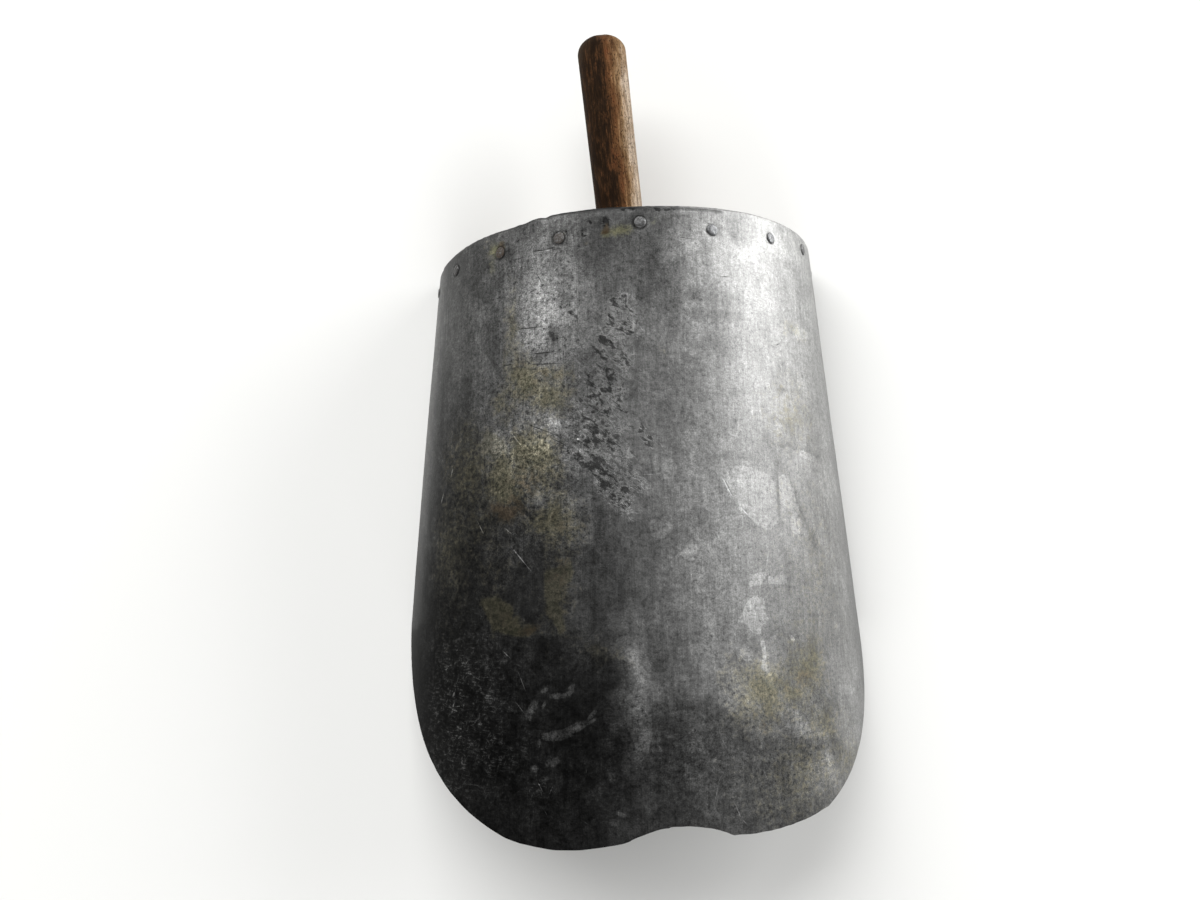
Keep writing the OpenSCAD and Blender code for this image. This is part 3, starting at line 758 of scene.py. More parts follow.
metalLook = dict(
    steel="#7e7e7d", greenDirt="#48471f", paleDirt="#7b745a", rust="#5b4622", lime="#8b8962",
    rustDrip="#4a3a16",
    # darkDepth acts on the dark field, which is partly dark skin and partly painted shade
    darkDepth=2.66,                         # how far the dark skin goes down, as a power of e
    stainCover=0.71, limeCover=0.7,         # how much of the metal the deposits hide
    stainShade=0.72,                        # and how much of the metal's light and dark they take on
    dirtGloss=0.3,                          # they are duller than clean paint
    # zinc crystals: width and length in mm and turn in degrees, for two layers of them
    crystals=((11, 17, 12), (7, 26, -35)), crystalWeight=0.15, crystalWander=(9.0, 6.0, 0.0),
    grain=dict(fleck=1.25, speck=1.1, brushed=0.62, streaks=0.35),      # each one's power of e
    hair=0.36, scribble=2.35,
    # size in mm, detail, roughness, turn in degrees, how many times longer than wide, distortion;
    # rolling lines, specks and hairlines are finer on real sheet, and drawn as coarse as they need to show
    noises=dict(
        cloud=(48, 4, 0.6, 0, 1, 0), mottle=(9, 9, 0.72, 0, 1, 0.5), fleck=(2.2, 5, 0.72, 0, 1, 0),
        speck=(0.8, 3, 0.6, 0, 1, 0), ragged=(4.5, 6, 0.72, 0, 1, 0),
        brushed=(0.7, 3, 0.6, 0, 16, 0), streaks=(2.6, 4, 0.6, 0, 14, 0),       # lengthwise, from rolling
        hairA=(0.55, 3, 0.6, -28, 26, 0), hairB=(0.55, 3, 0.6, 62, 22, 0), hairC=(0.6, 3, 0.6, -88, 18, 0),
        hollows=(3.0, 6, 0.66, -54, 1.9, 0.3),                                  # slant down to the right
        dashA=(1.3, 4, 0.7, -86, 4.0, 0.5), dashB=(1.6, 4, 0.7, 32, 2.6, 0.5),
        curl=(3.4, 3, 0.6, 84, 0.45, 0.9), crackle=(5.5, 5, 0.66, 24, 0.75, 1.3),
    ),
    # masks with ragged edges: how much of the raggedness, where each starts and where it is full
    edges=dict(
        olive=(1.3, 0.22, 0.8), oliveShape=(0.9, 0.3, 0.8), brown=(1.0, 0.28, 0.8), yellow=(1.2, 0.2, 0.9),
        paleShape=(0.24, 0.43, 0.57), pitted=(0.5, 0.2, 0.6),
    ),
)


def zincGrain(tree, place, look, noise, jag, dark, flecked):
    # The grain as a power of e, from the coarse to the fine: crisp crystals with wandering edges,
    # cloudy mottle, flecks, brushing along the sheet, fine ridges and curls, hairlines, dark flecks.
    add = partial(addNode, tree)
    wander = [far * mm for far in look["crystalWander"]]
    warped = add("VectorMath", jag, wander, place, operation="MULTIPLY_ADD")
    grain = -0.5 * look["crystalWeight"] * len(look["crystals"])
    for wide, long, turn in look["crystals"]:
        spun = add("Mapping", {"Vector": warped, "Rotation": (0, 0, math.radians(turn)),
                               "Scale": (wide * mm, long * mm, 1)}, vector_type="TEXTURE")
        crystal = add("TexVoronoi", {"Vector": spun, "Scale": 1.0}, out=1)
        grain = add("Math", crystal, look["crystalWeight"], grain, **fused)

    mottled = add("Math", add("Math", dark, 0.8, operation="MINIMUM"), 1.5, 1.3, **fused)
    onlyDark = add("Math", noise["fleck"], 0.015, operation="MINIMUM")
    grain = addUp(tree, grain, [(noise[name], weight) for name, weight in look["grain"].items()])
    grain = addUp(tree, grain, ((noise["mottle"], mottled), (flecked, 0.12),
                                (onlyDark, add("Math", flecked, 3.6, **times)),
                                (noise["speck"], add("Math", flecked, 0.9, **times))))

    # ridges and curls lie where a noise crosses its middle
    crackle, curl = (add("Math", noise[name], operation="ABSOLUTE") for name in ("crackle", "curl"))
    ridges = add("MapRange", crackle, 0.0, 0.035, 1.0, 0.0, **soft)
    grain = add("Math", ridges, add("MapRange", noise["streaks"], -0.2, 0.15, -0.22, 0.34), grain, **fused)
    curled = add("MapRange", curl, 0.0, 0.02, 1.0, 0.0, **soft)
    curled = add("Math", curled, add("MapRange", noise["ragged"], -0.04, 0.1, **soft), **times)
    grain = add("Math", add("Math", curled, flecked, **times), -0.55, grain, **fused)
    for name, low in (("hairA", 0.13), ("hairB", 0.15), ("hairC", 0.16)):
        hair = add("MapRange", noise[name], low, low + 0.09, **soft)
        grain = add("Math", hair, look["hair"], grain, **fused)
    darkFlecks = add("Math", add("MapRange", noise["fleck"], -0.08, -0.17, **soft), flecked, **times)
    return add("Math", darkFlecks, -0.8, grain, **fused)


def nailRingsAndShadow(tree, place, ragged):
    # a dark ring round each nail's head, set a little left and down so that a crescent shows past the head
    # there: partly dirt, partly painted shadow of the head; strongest at the left of the sheet
    marks = [(x - 0.35, y + 0.2, 0, 5.0, 5.0, 1 if x < 20 else 0.5) for x, y in nailSpots()]
    ring = addNode(tree, "MapRange", lineMarks(tree, place, marks), 0.06, 0.24, **soft)
    broken = addNode(tree, "MapRange", ragged, -0.2, 0.05, 0.35, 1.0, **soft)
    return addNode(tree, "Math", ring, broken, **times)


def galvanisedSheet(look):
    # Galvanised steel, hot-dipped, rolled and worn by grain: soft broad highlights, a fine grain
    # lengthwise, cloudy oxide, brown-olive dirt and a band of pitted corrosion.
    material, tree, add = startMaterial("galvanisedSteelWorn")
    place = add("UVMap", uv_map="piecePlace")
    noise = patterns(tree, place, look["noises"])
    plain = ("dark", "lively", "flecked", "abraded", "pit", "oliveHow", "paleHow", "inside")
    field = {name: add("Attribute", attribute_name=name, out=2) for name in (*plain, *look["edges"])}
    onOutside = add("Math", 1.0, field["inside"], operation="SUBTRACT")
    jag = addUp(tree, 0.0, ((noise["ragged"], 0.9), (noise["fleck"], 0.7)))
    mask = {}
    for name, (share, low, high) in look["edges"].items():
        mask[name] = add("MapRange", add("Math", jag, share, field[name], **fused), low, high, **soft)
    olivePatch = add("Math", mask["oliveShape"], field["oliveHow"], **times)
    olive = add("Math", mask["olive"], olivePatch, operation="MAXIMUM")
    flecked = add("Math", field["flecked"], 1.0, operation="MINIMUM")
    grain = zincGrain(tree, place, look, noise, jag, field["dark"], flecked)

    # pale patches and smears, broken up by flecks
    smeared = lineMarks(tree, place, smears)
    smeared = add("Math", add("MapRange", add("Math", jag, 0.45, smeared, **fused), 0.05, 0.26, **soft),
                  add("MapRange", smeared, 0.0, 1.0, 0.3, 0.72), **times)
    smeared = add("Math", smeared, onOutside, **times)
    patched = add("Math", mask["paleShape"], field["paleHow"], **times)
    pale = add("Math", add("Math", patched, smeared, operation="MAXIMUM"),
               add("MapRange", noise["fleck"], -0.16, 0.0, 0.62, 1.0, **soft), **times)

    # dark creases, light scratches, and scribbles of short light dashes through the dark skin
    creaseMask = add("Math", add("MapRange", lineMarks(tree, place, creases), 0.05, 0.8, **soft),
                     add("MapRange", noise["speck"], -0.15, 0.0, **soft), **times)
    scratchMask = add("Math", add("MapRange", lineMarks(tree, place, scratches), 0.08, 0.6, **soft),
                      add("MapRange", noise["fleck"], -0.2, 0.0, 0.35, 1.0, **soft), **times)
    creaseMask, scratchMask = (add("Math", m, onOutside, **times) for m in (creaseMask, scratchMask))
    dashes = add("Math", add("MapRange", noise["dashA"], -0.02, 0.14, **soft),
                 add("MapRange", noise["dashB"], 0.03, 0.15, **soft), operation="MAXIMUM")
    scribble = add("Math", dashes, add("MapRange", field["abraded"], 0.02, 1.25, **soft), **times)
    scribble = add("Math", scribble, add("MapRange", noise["mottle"], -0.12, 0.12, 0.45, 1.35), **times)

    # corrosion: dark hollows with thin light crests between them
    cut = addUp(tree, 0.5, ((field["pit"], 0.16), (noise["hollows"], -1.0)))
    eaten = add("Math", add("Math", mask["pitted"], 0.8, **times),
                add("MapRange", field["pit"], 0.1, 0.5, **soft), operation="MAXIMUM")
    hollow = add("Math", add("MapRange", cut, 0.54, 0.66, **soft), eaten, **times)
    crest = add("Math", add("MapRange", cut, 0.44, 0.50, **soft),
                add("MapRange", cut, 0.58, 0.52, **soft), **times)
    crest = add("Math", crest, mask["pitted"], **times)

    paleDark = add("Math", field["dark"], 1.6, 1.0, **fused)
    scratchLight = add("Math", field["dark"], 2.2, 0.3, **fused)
    # the tone carries painted shade: from the dark field, the creases and the crescents round the nails
    tone = addUp(tree, 0.0, ((noise["cloud"], 0.5), (grain, field["lively"]), (pale, paleDark),
                             (scribble, look["scribble"]), (field["dark"], -look["darkDepth"]),
                             (creaseMask, -1.5), (scratchMask, scratchLight), (hollow, -1.2), (crest, 0.5),
                             (nailRingsAndShadow(tree, place, noise["ragged"]), -1.0)))

    # deposits are lit paint rather than mirror, and shade less deeply than the metal
    bare = add("VectorMath", {0: linear(look["steel"])[:3], "Scale": add("Math", tone, operation="EXPONENT")},
               operation="SCALE")
    dusty = addUp(tree, 0.0, ((noise["ragged"], 1.0), (noise["fleck"], 0.8)))
    dusty = add("MapRange", dusty, -0.15, 0.15, **soft)
    dirt = paintOver(tree, linear(look["greenDirt"]), ((dusty, look["paleDirt"]),
                                                       (mask["brown"], look["rust"])))
    drip = paintOver(tree, linear(look["lime"]), ((mask["brown"], look["rustDrip"]),))
    shade = add("Math", add("Math", tone, look["stainShade"], **times), operation="EXPONENT")
    dirt, drip = (add("VectorMath", {0: paint, "Scale": shade}, operation="SCALE") for paint in (dirt, drip))
    stain = add("Math", add("Math", mask["brown"], 0.9, **times), olive, operation="MAXIMUM")
    stain = add("Math", stain, look["stainCover"], **times)
    lime = add("Math", mask["yellow"], look["limeCover"], **times)
    colour = paintOver(tree, bare, ((stain, dirt), (lime, drip)))

    rough = addUp(tree, 0.48, ((noise["mottle"], 0.22), (noise["fleck"], 0.14), (stain, 0.2), (hollow, 0.2)))
    covered = add("Math", stain, lime, operation="MAXIMUM")
    metal = addUp(tree, 0.97, ((covered, -0.75), (hollow, -0.25)))
    height = addUp(tree, 0.0, ((noise["mottle"], 0.10), (noise["fleck"], 0.06), (noise["brushed"], 0.014),
                               (noise["speck"], 0.025), (hollow, -0.25), (crest, 0.06), (creaseMask, -0.15),
                               (scratchMask, -0.06), (stain, 0.03)))
    bump = add("Bump", {"Strength": 1.0, "Distance": mm, "Height": height})
    # where the dark field, partly dark skin and partly painted shade, is strong, the metal mirrors less at
    # its edges
    edgeTint = add("MapRange", field["dark"], 0.1, 0.8, 1.0, 0.6, **soft)
    shader = add("BsdfPrincipled", {"Base Color": colour, "Metallic": metal, "Roughness": rough,
                                    "Specular Tint": edgeTint, "Specular IOR Level": look["dirtGloss"],
                                    "Normal": bump})
    add("OutputMaterial", {"Surface": shader})
    return material


sheetMetal = galvanisedSheet(metalLook)
sheetPiece = makeSheet(sheetMetal)
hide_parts("scoop_sheet")
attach(sheetPiece, "root")
print("sheet made:", len(sheetPiece.data.polygons), "faces")


# Wooden parts

def toBoard(points):
    # the board's frame to the row frame: lean about X, then skew about Z
    lean, skew = math.radians(build["boardLean"]), math.radians(build["boardSkew"])
    x, y, z = np.moveaxis(points, -1, 0)
    y, z = y * math.cos(lean) - z * math.sin(lean), y * math.sin(lean) + z * math.cos(lean)
    return np.stack([x * math.cos(skew) - y * math.sin(skew), x * math.sin(skew) + y * math.cos(skew), z], -1)


def toHandle(x, y, z):
    # the handle's frame, Z from the board's back face to the end and Y down, to the row frame
    lean = math.radians(build["handleLean"])
    x, y, z = np.broadcast_arrays(x, z, -y)
    side, away = x * math.cos(lean) - y * math.sin(lean), x * math.sin(lean) + y * math.cos(lean)
    return toBoard(np.stack([side - build["handleLeft"], away + build["boardThick"] / 2,
                             z + build["handleHigh"]], -1))


def woodMaterial(name, look):
    # Wood by its growth rings: distance from a pith line, bent by noise, gives early and late wood.
    # Pores are short dark dashes along the grain; dirt and wear are fields painted on the mesh.
    material, tree, add = startMaterial(name)
    place = add("Attribute", attribute_name="woodPlace", out=1)
    x, y = (add("SeparateXYZ", place, out=i) for i in (0, 1))
    noise = patterns(tree, place, look["noises"], grainAxis=2)
    off = [add("Math", value, centre * mm, operation="SUBTRACT")
           for value, centre in zip((x, y), look["pith"])]
    away = add("Math", add("Math", off[0], off[0], **times), add("Math", off[1], off[1], **times), **plus)
    away = add("Math", away, operation="SQRT")
    ring = addUp(tree, 10.0, ((away, 1 / (look["ring"] * mm)), (noise["bend"], look["bend"])))
    ring = add("Math", ring, operation="FRACT")
    late = add("Math", add("MapRange", ring, 0.3, 0.95, **soft),
               add("MapRange", ring, 1.0, 0.96, **soft), **times)
    pores = add("MapRange", noise["pore"], 0.06, 0.14, **soft)
    worn, dirt = (add("Attribute", attribute_name=key, out=2) for key in ("worn", "dirt"))

    # from the dark oiled skin through its thinned edge to bare greyed wood
    bare = addUp(tree, worn, ((noise["streak"], look["streaky"]), (noise["blotch"], look["uneven"]),
                              (noise["fibre"], 0.35)))
    ruddy = add("Math", add("MapRange", noise["blotch"], -0.05, 0.2, **soft),
                add("MapRange", bare, 0.0, 0.4, **soft), **times)
    colour = paintOver(tree, linear(look["skin"]), (
        (add("MapRange", bare, -0.08, 0.42, **soft), look["warm"]),
        (ruddy, look["ruddy"]),
        (add("MapRange", bare, 0.34, 0.8, **soft), look["thin"]),
        (add("MapRange", bare, 0.62, 1.1, **soft), look["bare"]),
        (add("Math", late, look["ringStrength"], **times), look["late"])))
    lift = addUp(tree, 0.0, ((noise["fibre"], 1.4), (noise["blotch"], 1.3), (noise["streak"], 0.85)))
    lift = add("Math", lift, operation="EXPONENT")
    colour = add("VectorMath", {0: colour, "Scale": lift}, operation="SCALE")
    grime = add("MapRange", add("Math", noise["blotch"], 0.9, dirt, **fused), 0.25, 0.9, **soft)
    colour = paintOver(tree, colour, ((add("Math", pores, look["poreStrength"], **times), look["pore"]),
                                      (add("Math", grime, 0.8, **times), look["grime"])))

    rough = addUp(tree, look["rough"], ((noise["fibre"], 0.16), (bare, look["bareRough"])))
    height = addUp(tree, 0.0, ((noise["fibre"], 0.08), (pores, -0.14), (late, 0.06), (noise["blotch"], 0.14)))
    bump = add("Bump", {"Strength": 1.0, "Distance": mm, "Height": height})
    shader = add("BsdfPrincipled", {"Base Color": colour, "Roughness": rough, "Normal": bump,
                                    "Specular IOR Level": look["gloss"]})
    add("OutputMaterial", {"Surface": shader})
    return material


handleLook = dict(
    columns=132, baseR=14.2, endR=15.5, endRound=8.5,
    unevenness=0.35,    # how far the hand-turned surface falls inside the true taper
    # knocks in the grip: angle in radians, distance along, half width, depth
    knocks=((4.4, 96, 4, 0.5), (4.9, 61, 3, 0.35), (5.2, 128, 3.5, 0.5), (4.15, 30, 5, 0.4),
            (4.7, 139, 3, 0.5), (1.2, 80, 5, 0.5), (2.6, 120, 4, 0.5), (3.9, 112, 2.5, 0.4)),
    wood=dict(
        skin="#20150b", warm="#5b3e26", ruddy="#4d2a18", thin="#83694b", bare="#a49584",
        late="#2b1a0d", pore="#1d120a", grime="#372d22",
        poreStrength=0.8, ringStrength=0.25, uneven=0.8, streaky=0.5, gloss=0.03, rough=0.62, bareRough=0.1,
        ring=3.4, bend=2.2, pith=(9.0, 26.0),       # rings' width, how far they bend, their middle
        # ash has pores about 0.3 mm wide, drawn wider here to show
        noises=dict(bend=(16, 2, 0.5, 0, 8, 0), streak=(1.6, 4, 0.65, 0, 12, 0.2),
                    blotch=(5, 6, 0.68, 0, 2.6, 0.4), fibre=(0.6, 3, 0.6, 0, 14, 0),
                    pore=(0.62, 2, 0.5, 0, 2.4, 0)),
    ),
)


def makeHandle(material):
    # A surface of angle and length: tenon end, tenon, shoulder against the board, a slow taper
    # up to the thickest place, and a quarter round to the flat end. Shallow waves, flutes along
    # the grain and knocks are taken off the radius.
    look, length = handleLook, build["handleLen"]
    tenonEnd = -build["boardThick"] - build["tenonProud"]
    turn = np.linspace(0, math.pi / 2, 12)[1:]
    grip = np.linspace(0.9, length - look["endRound"], 190)
    endX = look["endR"] - look["endRound"]
    parts = [   # (distance along, radius)
        ([tenonEnd] * 5, [0.0, 3.0, 6.0, 8.4, 9.3]),
        ([tenonEnd + 0.15, tenonEnd + 0.5, tenonEnd + 0.9], [9.7, 9.93, build["tenonR"]]),
        (np.linspace(tenonEnd + 2, 0, 22), [build["tenonR"]] * 22),
        ([0.0, 0.0, 0.0, 0.12, 0.4], [10.4, 12.0, look["baseR"] - 0.5, look["baseR"] - 0.14, look["baseR"]]),
        (grip, look["baseR"] + (look["endR"] - look["baseR"]) * grip / (length - look["endRound"])),
        (length - look["endRound"] * (1 - np.sin(turn)), endX + look["endRound"] * np.cos(turn)),
        ([length] * 5, [endX * 0.85, endX * 0.65, endX * 0.4, endX * 0.2, 0.0]),
    ]
    along = np.concatenate([p[0] for p in parts])[:, None]
    radius = np.concatenate([p[1] for p in parts])[:, None]
    angle = np.arange(look["columns"]) * 2 * math.pi / look["columns"]
    onGrip = smooth(0.3, 6, along) * smooth(1.0, 5.0, radius)
    wave = 0.5 + 0.5 * softNoise(np.cos(angle) * 18 + 40, along, 34, 51)
    wave = 0.6 * wave + 0.25 * (0.5 + 0.5 * softNoise(np.cos(angle) * 9, along + np.sin(angle) * 9, 11, 52))
    flute = 0.15 * np.abs(softNoise(np.cos(angle) * 30 + 60, np.sin(angle) * 30 + along * 0.05, 1.6, 53))
    taken = look["unevenness"] * (wave + flute)
    for knockAngle, knockPlace, wide, deep in look["knocks"]:
        far = np.hypot(np.angle(np.exp(1j * (angle - knockAngle))) * look["endR"], along - knockPlace)
        taken = taken + deep * np.exp(-(far / wide) ** 2)
    radius = radius - taken * onGrip
    lean = math.radians(build["handleLean"])
    shoulder = (0.1 - radius * np.cos(angle) * math.sin(lean)) / math.cos(lean)
    atShoulder = (along >= 0) * (1 - smooth(0, 14, along)) * (radius > build["tenonR"] + 0.2)
    depth = along + shoulder * atShoulder
    x, y = radius * np.cos(angle), radius * np.sin(angle)
    points = toHandle(x, y, depth)
    rows, columns = points.shape[:2]
    quads = gridQuads(rows, columns, wrapColumns=True)
    # worn to bare wood on the right of its upper side, and grimy on the left and at the end; because this
    # goes by side, the lighter right is partly painted light and the darker left partly painted shade
    side = np.cos(angle) + 0 * along + 0.16 * softNoise(0 * angle, along, 22, 54)
    worn = smooth(-0.4, 0.88, side) * (1 - 0.3 * smooth(100, 139, along) + 0.08 * smooth(60, 10, along))
    dirt = 0.35 * smooth(-0.3, -0.9, side) + 0.4 * smooth(118, 138, along)
    dirt = dirt + 0.5 * (1 - smooth(0, 5, np.abs(along)))
    piece = buildPiece("scoopHandle", points.reshape(-1, 3), quads, material,
                       fields=dict(worn=worn.ravel(), dirt=np.clip(dirt, 0, 1).ravel()),
                       wood=np.stack(np.broadcast_arrays(x, y, depth), -1).reshape(-1, 3))
    cutKerf(piece)
    return piece


wedgeLook = dict(headHalf=2.0, tipHalf=0.5, long=19.0, proud=1.5, narrower=1.2, kerfGap=0.05, kerfWide=40.0)
wedgeFaces = [(0, 1, 2, 3), (7, 6, 5, 4), (0, 4, 5, 1), (1, 5, 6, 2), (2, 6, 7, 3), (3, 7, 4, 0)]


def wedgeCorners(width, gap):
    # the wedge's outline on both of its sides: thick head inside the bowl, thin end towards the handle
    head, tip = wedgeLook["headHalf"] + gap, wedgeLook["tipHalf"] + gap
    start = -build["boardThick"] - build["tenonProud"] - wedgeLook["proud"]
    end = start + wedgeLook["long"] + gap
    outline = np.array([[-head, start], [head, start], [tip, end], [-tip, end]])
    return np.concatenate([toHandle(outline[:, 0], side * width / 2, outline[:, 1]) for side in (-1, 1)])


def cutKerf(piece):
    # the saw kerf that the wedge is driven into, cut with a Boolean and kept as plain mesh
    mesh = bpy.data.meshes.new("kerf")
    corners = wedgeCorners(wedgeLook["kerfWide"], wedgeLook["kerfGap"]) * mm
    mesh.from_pydata(corners.tolist(), [], wedgeFaces)
    cutter = bpy.data.objects.new("kerf", mesh)
    bpy.context.scene.collection.objects.link(cutter)
    cut = piece.modifiers.new("kerf", "BOOLEAN")
    cut.object, cut.operation, cut.solver = cutter, "DIFFERENCE", "EXACT"
    cleared = bpy.data.meshes.new_from_object(piece.evaluated_get(bpy.context.evaluated_depsgraph_get()))
    piece.modifiers.clear()
    piece.data = cleared
    bpy.data.objects.remove(cutter)


handlePiece = makeHandle(woodMaterial("handWornOiledAsh", handleLook["wood"]))
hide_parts("handle")
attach(handlePiece, "root")
print("handle made:", len(handlePiece.data.polygons), "faces")


boardLook = dict(
    arcColumns=230, footColumns=90, faceRows=26, edgeRows=10, boreRows=5,
    wornEdge=0.9,                               # how far the sawn edges are rounded over
    trough=0.12, sawn=0.05,                     # depth of the plane's troughs and of the saw's lines
    checkHigh=74.0, checkDeep=0.9,              # the drying check
    wood=dict(
        skin="#40342a", warm="#564738", ruddy="#523f2f", thin="#6b5b4a", bare="#7f7263",
        late="#4a3a2b", pore="#2a2018", grime="#2e2721",
        poreStrength=0.3, ringStrength=0.5, uneven=0.8, streaky=0.8, gloss=0.12, rough=0.68, bareRough=0.1,
        ring=6.5, bend=5.5, pith=(-34.0, -70.0),
        noises=dict(bend=(70, 3, 0.55, 0, 6, 0.3), streak=(2.6, 5, 0.65, 0, 26, 0),
                    blotch=(12, 6, 0.7, 0, 3, 0.5), fibre=(0.5, 3, 0.6, 0, 25, 0),
                    pore=(0.7, 2, 0.5, 0, 5, 0)),
    ),
)


def makeBoard(material):
    # A closed ring: from the handle's bore over the back face to the half-round outline, across the
    # edge, over the front face and back through the bore. Columns run round the outline.
    look, half, inset = boardLook, build["boardThick"] / 2, build["sheetThick"] + build["boardGap"]
    normal, skew = boardNormal(), math.radians(build["boardSkew"])
    sideways = np.array([math.cos(skew), math.sin(skew), 0])

    def outline(depth):
        # the cone's arc at this depth, whose end angle is found in a few rounds, and the foot
        angleEnd = 1.0
        for _ in range(20):
            angleEnd = float(groundAngle(alongAtBoard(angleEnd, depth, inset), inset))
        angle = np.linspace(-angleEnd, angleEnd, look["arcColumns"])
        arc = onCone(angle, alongAtBoard(angle, depth, inset), inset)
        arc[:, 2] = np.maximum(arc[:, 2], 0)
        foot = np.linspace(arc[-1], arc[0], look["footColumns"])[1:-1]
        return np.concatenate([arc, foot])

    def bore(depth):
        # in the handle's frame the board's faces are planes that lean by the handle's lean
        lean = math.radians(build["handleLean"])
        radius = build["tenonR"] + 0.1
        x = radius * np.cos(around)
        return toHandle(x, radius * np.sin(around), (depth - half - x * math.sin(lean)) / math.cos(lean))

    def pulledIn(depth, pull):
        # the outline, rounded over towards the bore
        rim = outline(depth)
        return rim + unit(centre - rim) * pull

    def face(depth):
        # straight lines from the bore to the rounded edge
        hole = bore(depth)
        return hole + (pulledIn(depth, look["wornEdge"]) - hole) * share

    centre = toHandle(0.0, 0.0, -half)
    middle = outline(0.0)
    around = np.arctan2(-(middle[:, 2] - centre[2]), (middle - centre) @ sideways)
    share = np.linspace(0, 1, look["faceRows"])[:, None, None] ** 0.9
    # the round-over on each edge: how far from the face, and how much of it is left there
    rounded = [(down, part * look["wornEdge"]) for down, part in ((0.25, 0.45), (0.7, 0.12))]
    rows = [face(half)]
    rows += [pulledIn(half - down, pull)[None] for down, pull in rounded]
    rows += [outline(depth)[None] for depth in np.linspace(half, -half, look["edgeRows"])[1:-1]]
    rows += [pulledIn(down - half, pull)[None] for down, pull in rounded[::-1]]
    rows.append(face(-half)[::-1])
    rows += [bore(depth)[None] for depth in np.linspace(-half, half, look["boreRows"] + 2)[1:-1]]
    points = np.concatenate(rows)

    # the faces were planed by hand: shallow troughs along the grain, and one drying check
    deep, side, high = points @ normal, points @ sideways, points[..., 2]
    fromBore = np.linalg.norm(points - centre - np.multiply.outer(deep, normal), axis=-1)
    onFace = smooth(half - 0.05, half, np.abs(deep)) * smooth(10.3, 13, fromBore)
    trough = look["trough"] * (1 + softNoise(side, high, 19, 61))
    trough = trough + look["sawn"] * np.abs(softNoise(side * 0.05, high, 1.8, 62))
    line = look["checkHigh"] + 1.6 * softNoise(side, 0, 14, 63)
    check = look["checkDeep"] * np.exp(-((high - line) / 0.9) ** 2) * smooth(20, 50, side)
    points = points - (np.sign(deep) * onFace * (trough + check))[..., None] * normal
    points[..., 2] = np.maximum(points[..., 2], 0)

    count, columns = points.shape[:2]
    quads = gridQuads(count, columns, wrapRows=True, wrapColumns=True)
    # grime gathers by the sheet, by the bore and along the foot
    fromHole = np.hypot(side - centre[0], high - centre[2])
    fromRim = build["backR"] - 2 - np.hypot(side, high)
    dirt = np.maximum(1 - smooth(0, 9, fromRim), 0.8 * (1 - smooth(10, 17, fromHole)))
    dirt = np.clip(np.maximum(dirt, 0.7 * (1 - smooth(0, 7, high))) + 0.22, 0, 1)
    worn = 0.5 + 0.2 * softNoise(side, high, 30, 64)
    wood = np.stack([high - 40, deep, side], -1)
    return buildPiece("scoopBoard", points.reshape(-1, 3), quads, material,
                      fields=dict(worn=worn.ravel(), dirt=dirt.ravel()), wood=wood.reshape(-1, 3))


boardPiece = makeBoard(woodMaterial("sawnBoardDusty", boardLook["wood"]))
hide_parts("back_board")
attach(boardPiece, "root")
print("board made:", len(boardPiece.data.polygons), "faces")


def makeWedge(material):
    # a plain split wedge: its eight corners, with each face on points of its own
    corners = wedgeCorners(2 * build["tenonR"] - wedgeLook["narrower"], 0.0)
    flat = np.concatenate([corners[list(face)] for face in wedgeFaces])
    fields = dict(worn=np.full(24, 0.8), dirt=np.full(24, 0.25))
    return buildPiece("tenonWedge", flat, np.arange(24).reshape(6, 4), material, fields=fields,
                      wood=flat[:, [0, 2, 1]])


wedgeWood = dict(boardLook["wood"], bare="#a08661", pith=(40, 20), ring=2.2)
wedgePiece = makeWedge(woodMaterial("splitOakWedge", wedgeWood))
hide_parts("handle_wedge")
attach(wedgePiece, "root")
print("wedge made:", len(wedgePiece.data.polygons), "faces")


nailLook = dict(
    columns=28, headR=3.45, headHigh=1.3, shankR=1.3, shankLong=24.0, pointLong=4.0, pointR=0.33,
    raised=0.05,        # the head's underside over the sheet
    zinc="#646566", worn="#858687", dull="#2e2d2b", rust="#2f2214", dirt="#2f2e2d",
    # per nail: height of the head, tilt in degrees, tilt direction, rust, darkness
    heads=[(0.6, 4, 0.4, 0.3, 0.5), (0.6, 3, 2.0, 0.1, 0.9), (0.55, 4, 4.0, 1.0, 0.95),
           (0.4, 3, 1.0, 0.5, 0.85), (0.55, 4, 5.4, 0.1, 0.6), (0.45, 3, 3.0, 0.05, 0.1),
           (0.6, 4, 2.6, 0.05, 0.1), (0.55, 3, 0.9, 0.2, 0.4), (0.6, 4, 3.3, 0.4, 0.5)],
)


def hammeredHead(number, high, tilt, tiltTo, around):
    # a low dome by share of the radius, cut by a tilted plane and dented by the hammer; its outline
    # is a little uneven
    look, cosA, sinA = nailLook, np.cos(around), np.sin(around)
    share = np.array([0, 0.18, 0.36, 0.54, 0.7, 0.82, 0.91, 0.965, 0.99, 1.0])[:, None]
    headHigh = high * look["headHigh"]
    dome = headHigh * (1 - share ** 3.2) + 0.28 * (1 - share ** 9)
    reach = look["headR"] * (0.95 + 0.05 * softNoise(cosA * 3, sinA * 3 + number * 9, 2.2, 71))
    r = share * reach
    plane = headHigh * 0.86 + math.tan(math.radians(tilt)) * r * np.cos(around - tiltTo)
    dented = 0.07 * np.abs(softNoise(r * cosA, r * sinA + number * 7, 1.3, 72))
    return r, np.maximum(np.minimum(dome / dome.max() * headHigh, plane) - dented, 0.0)


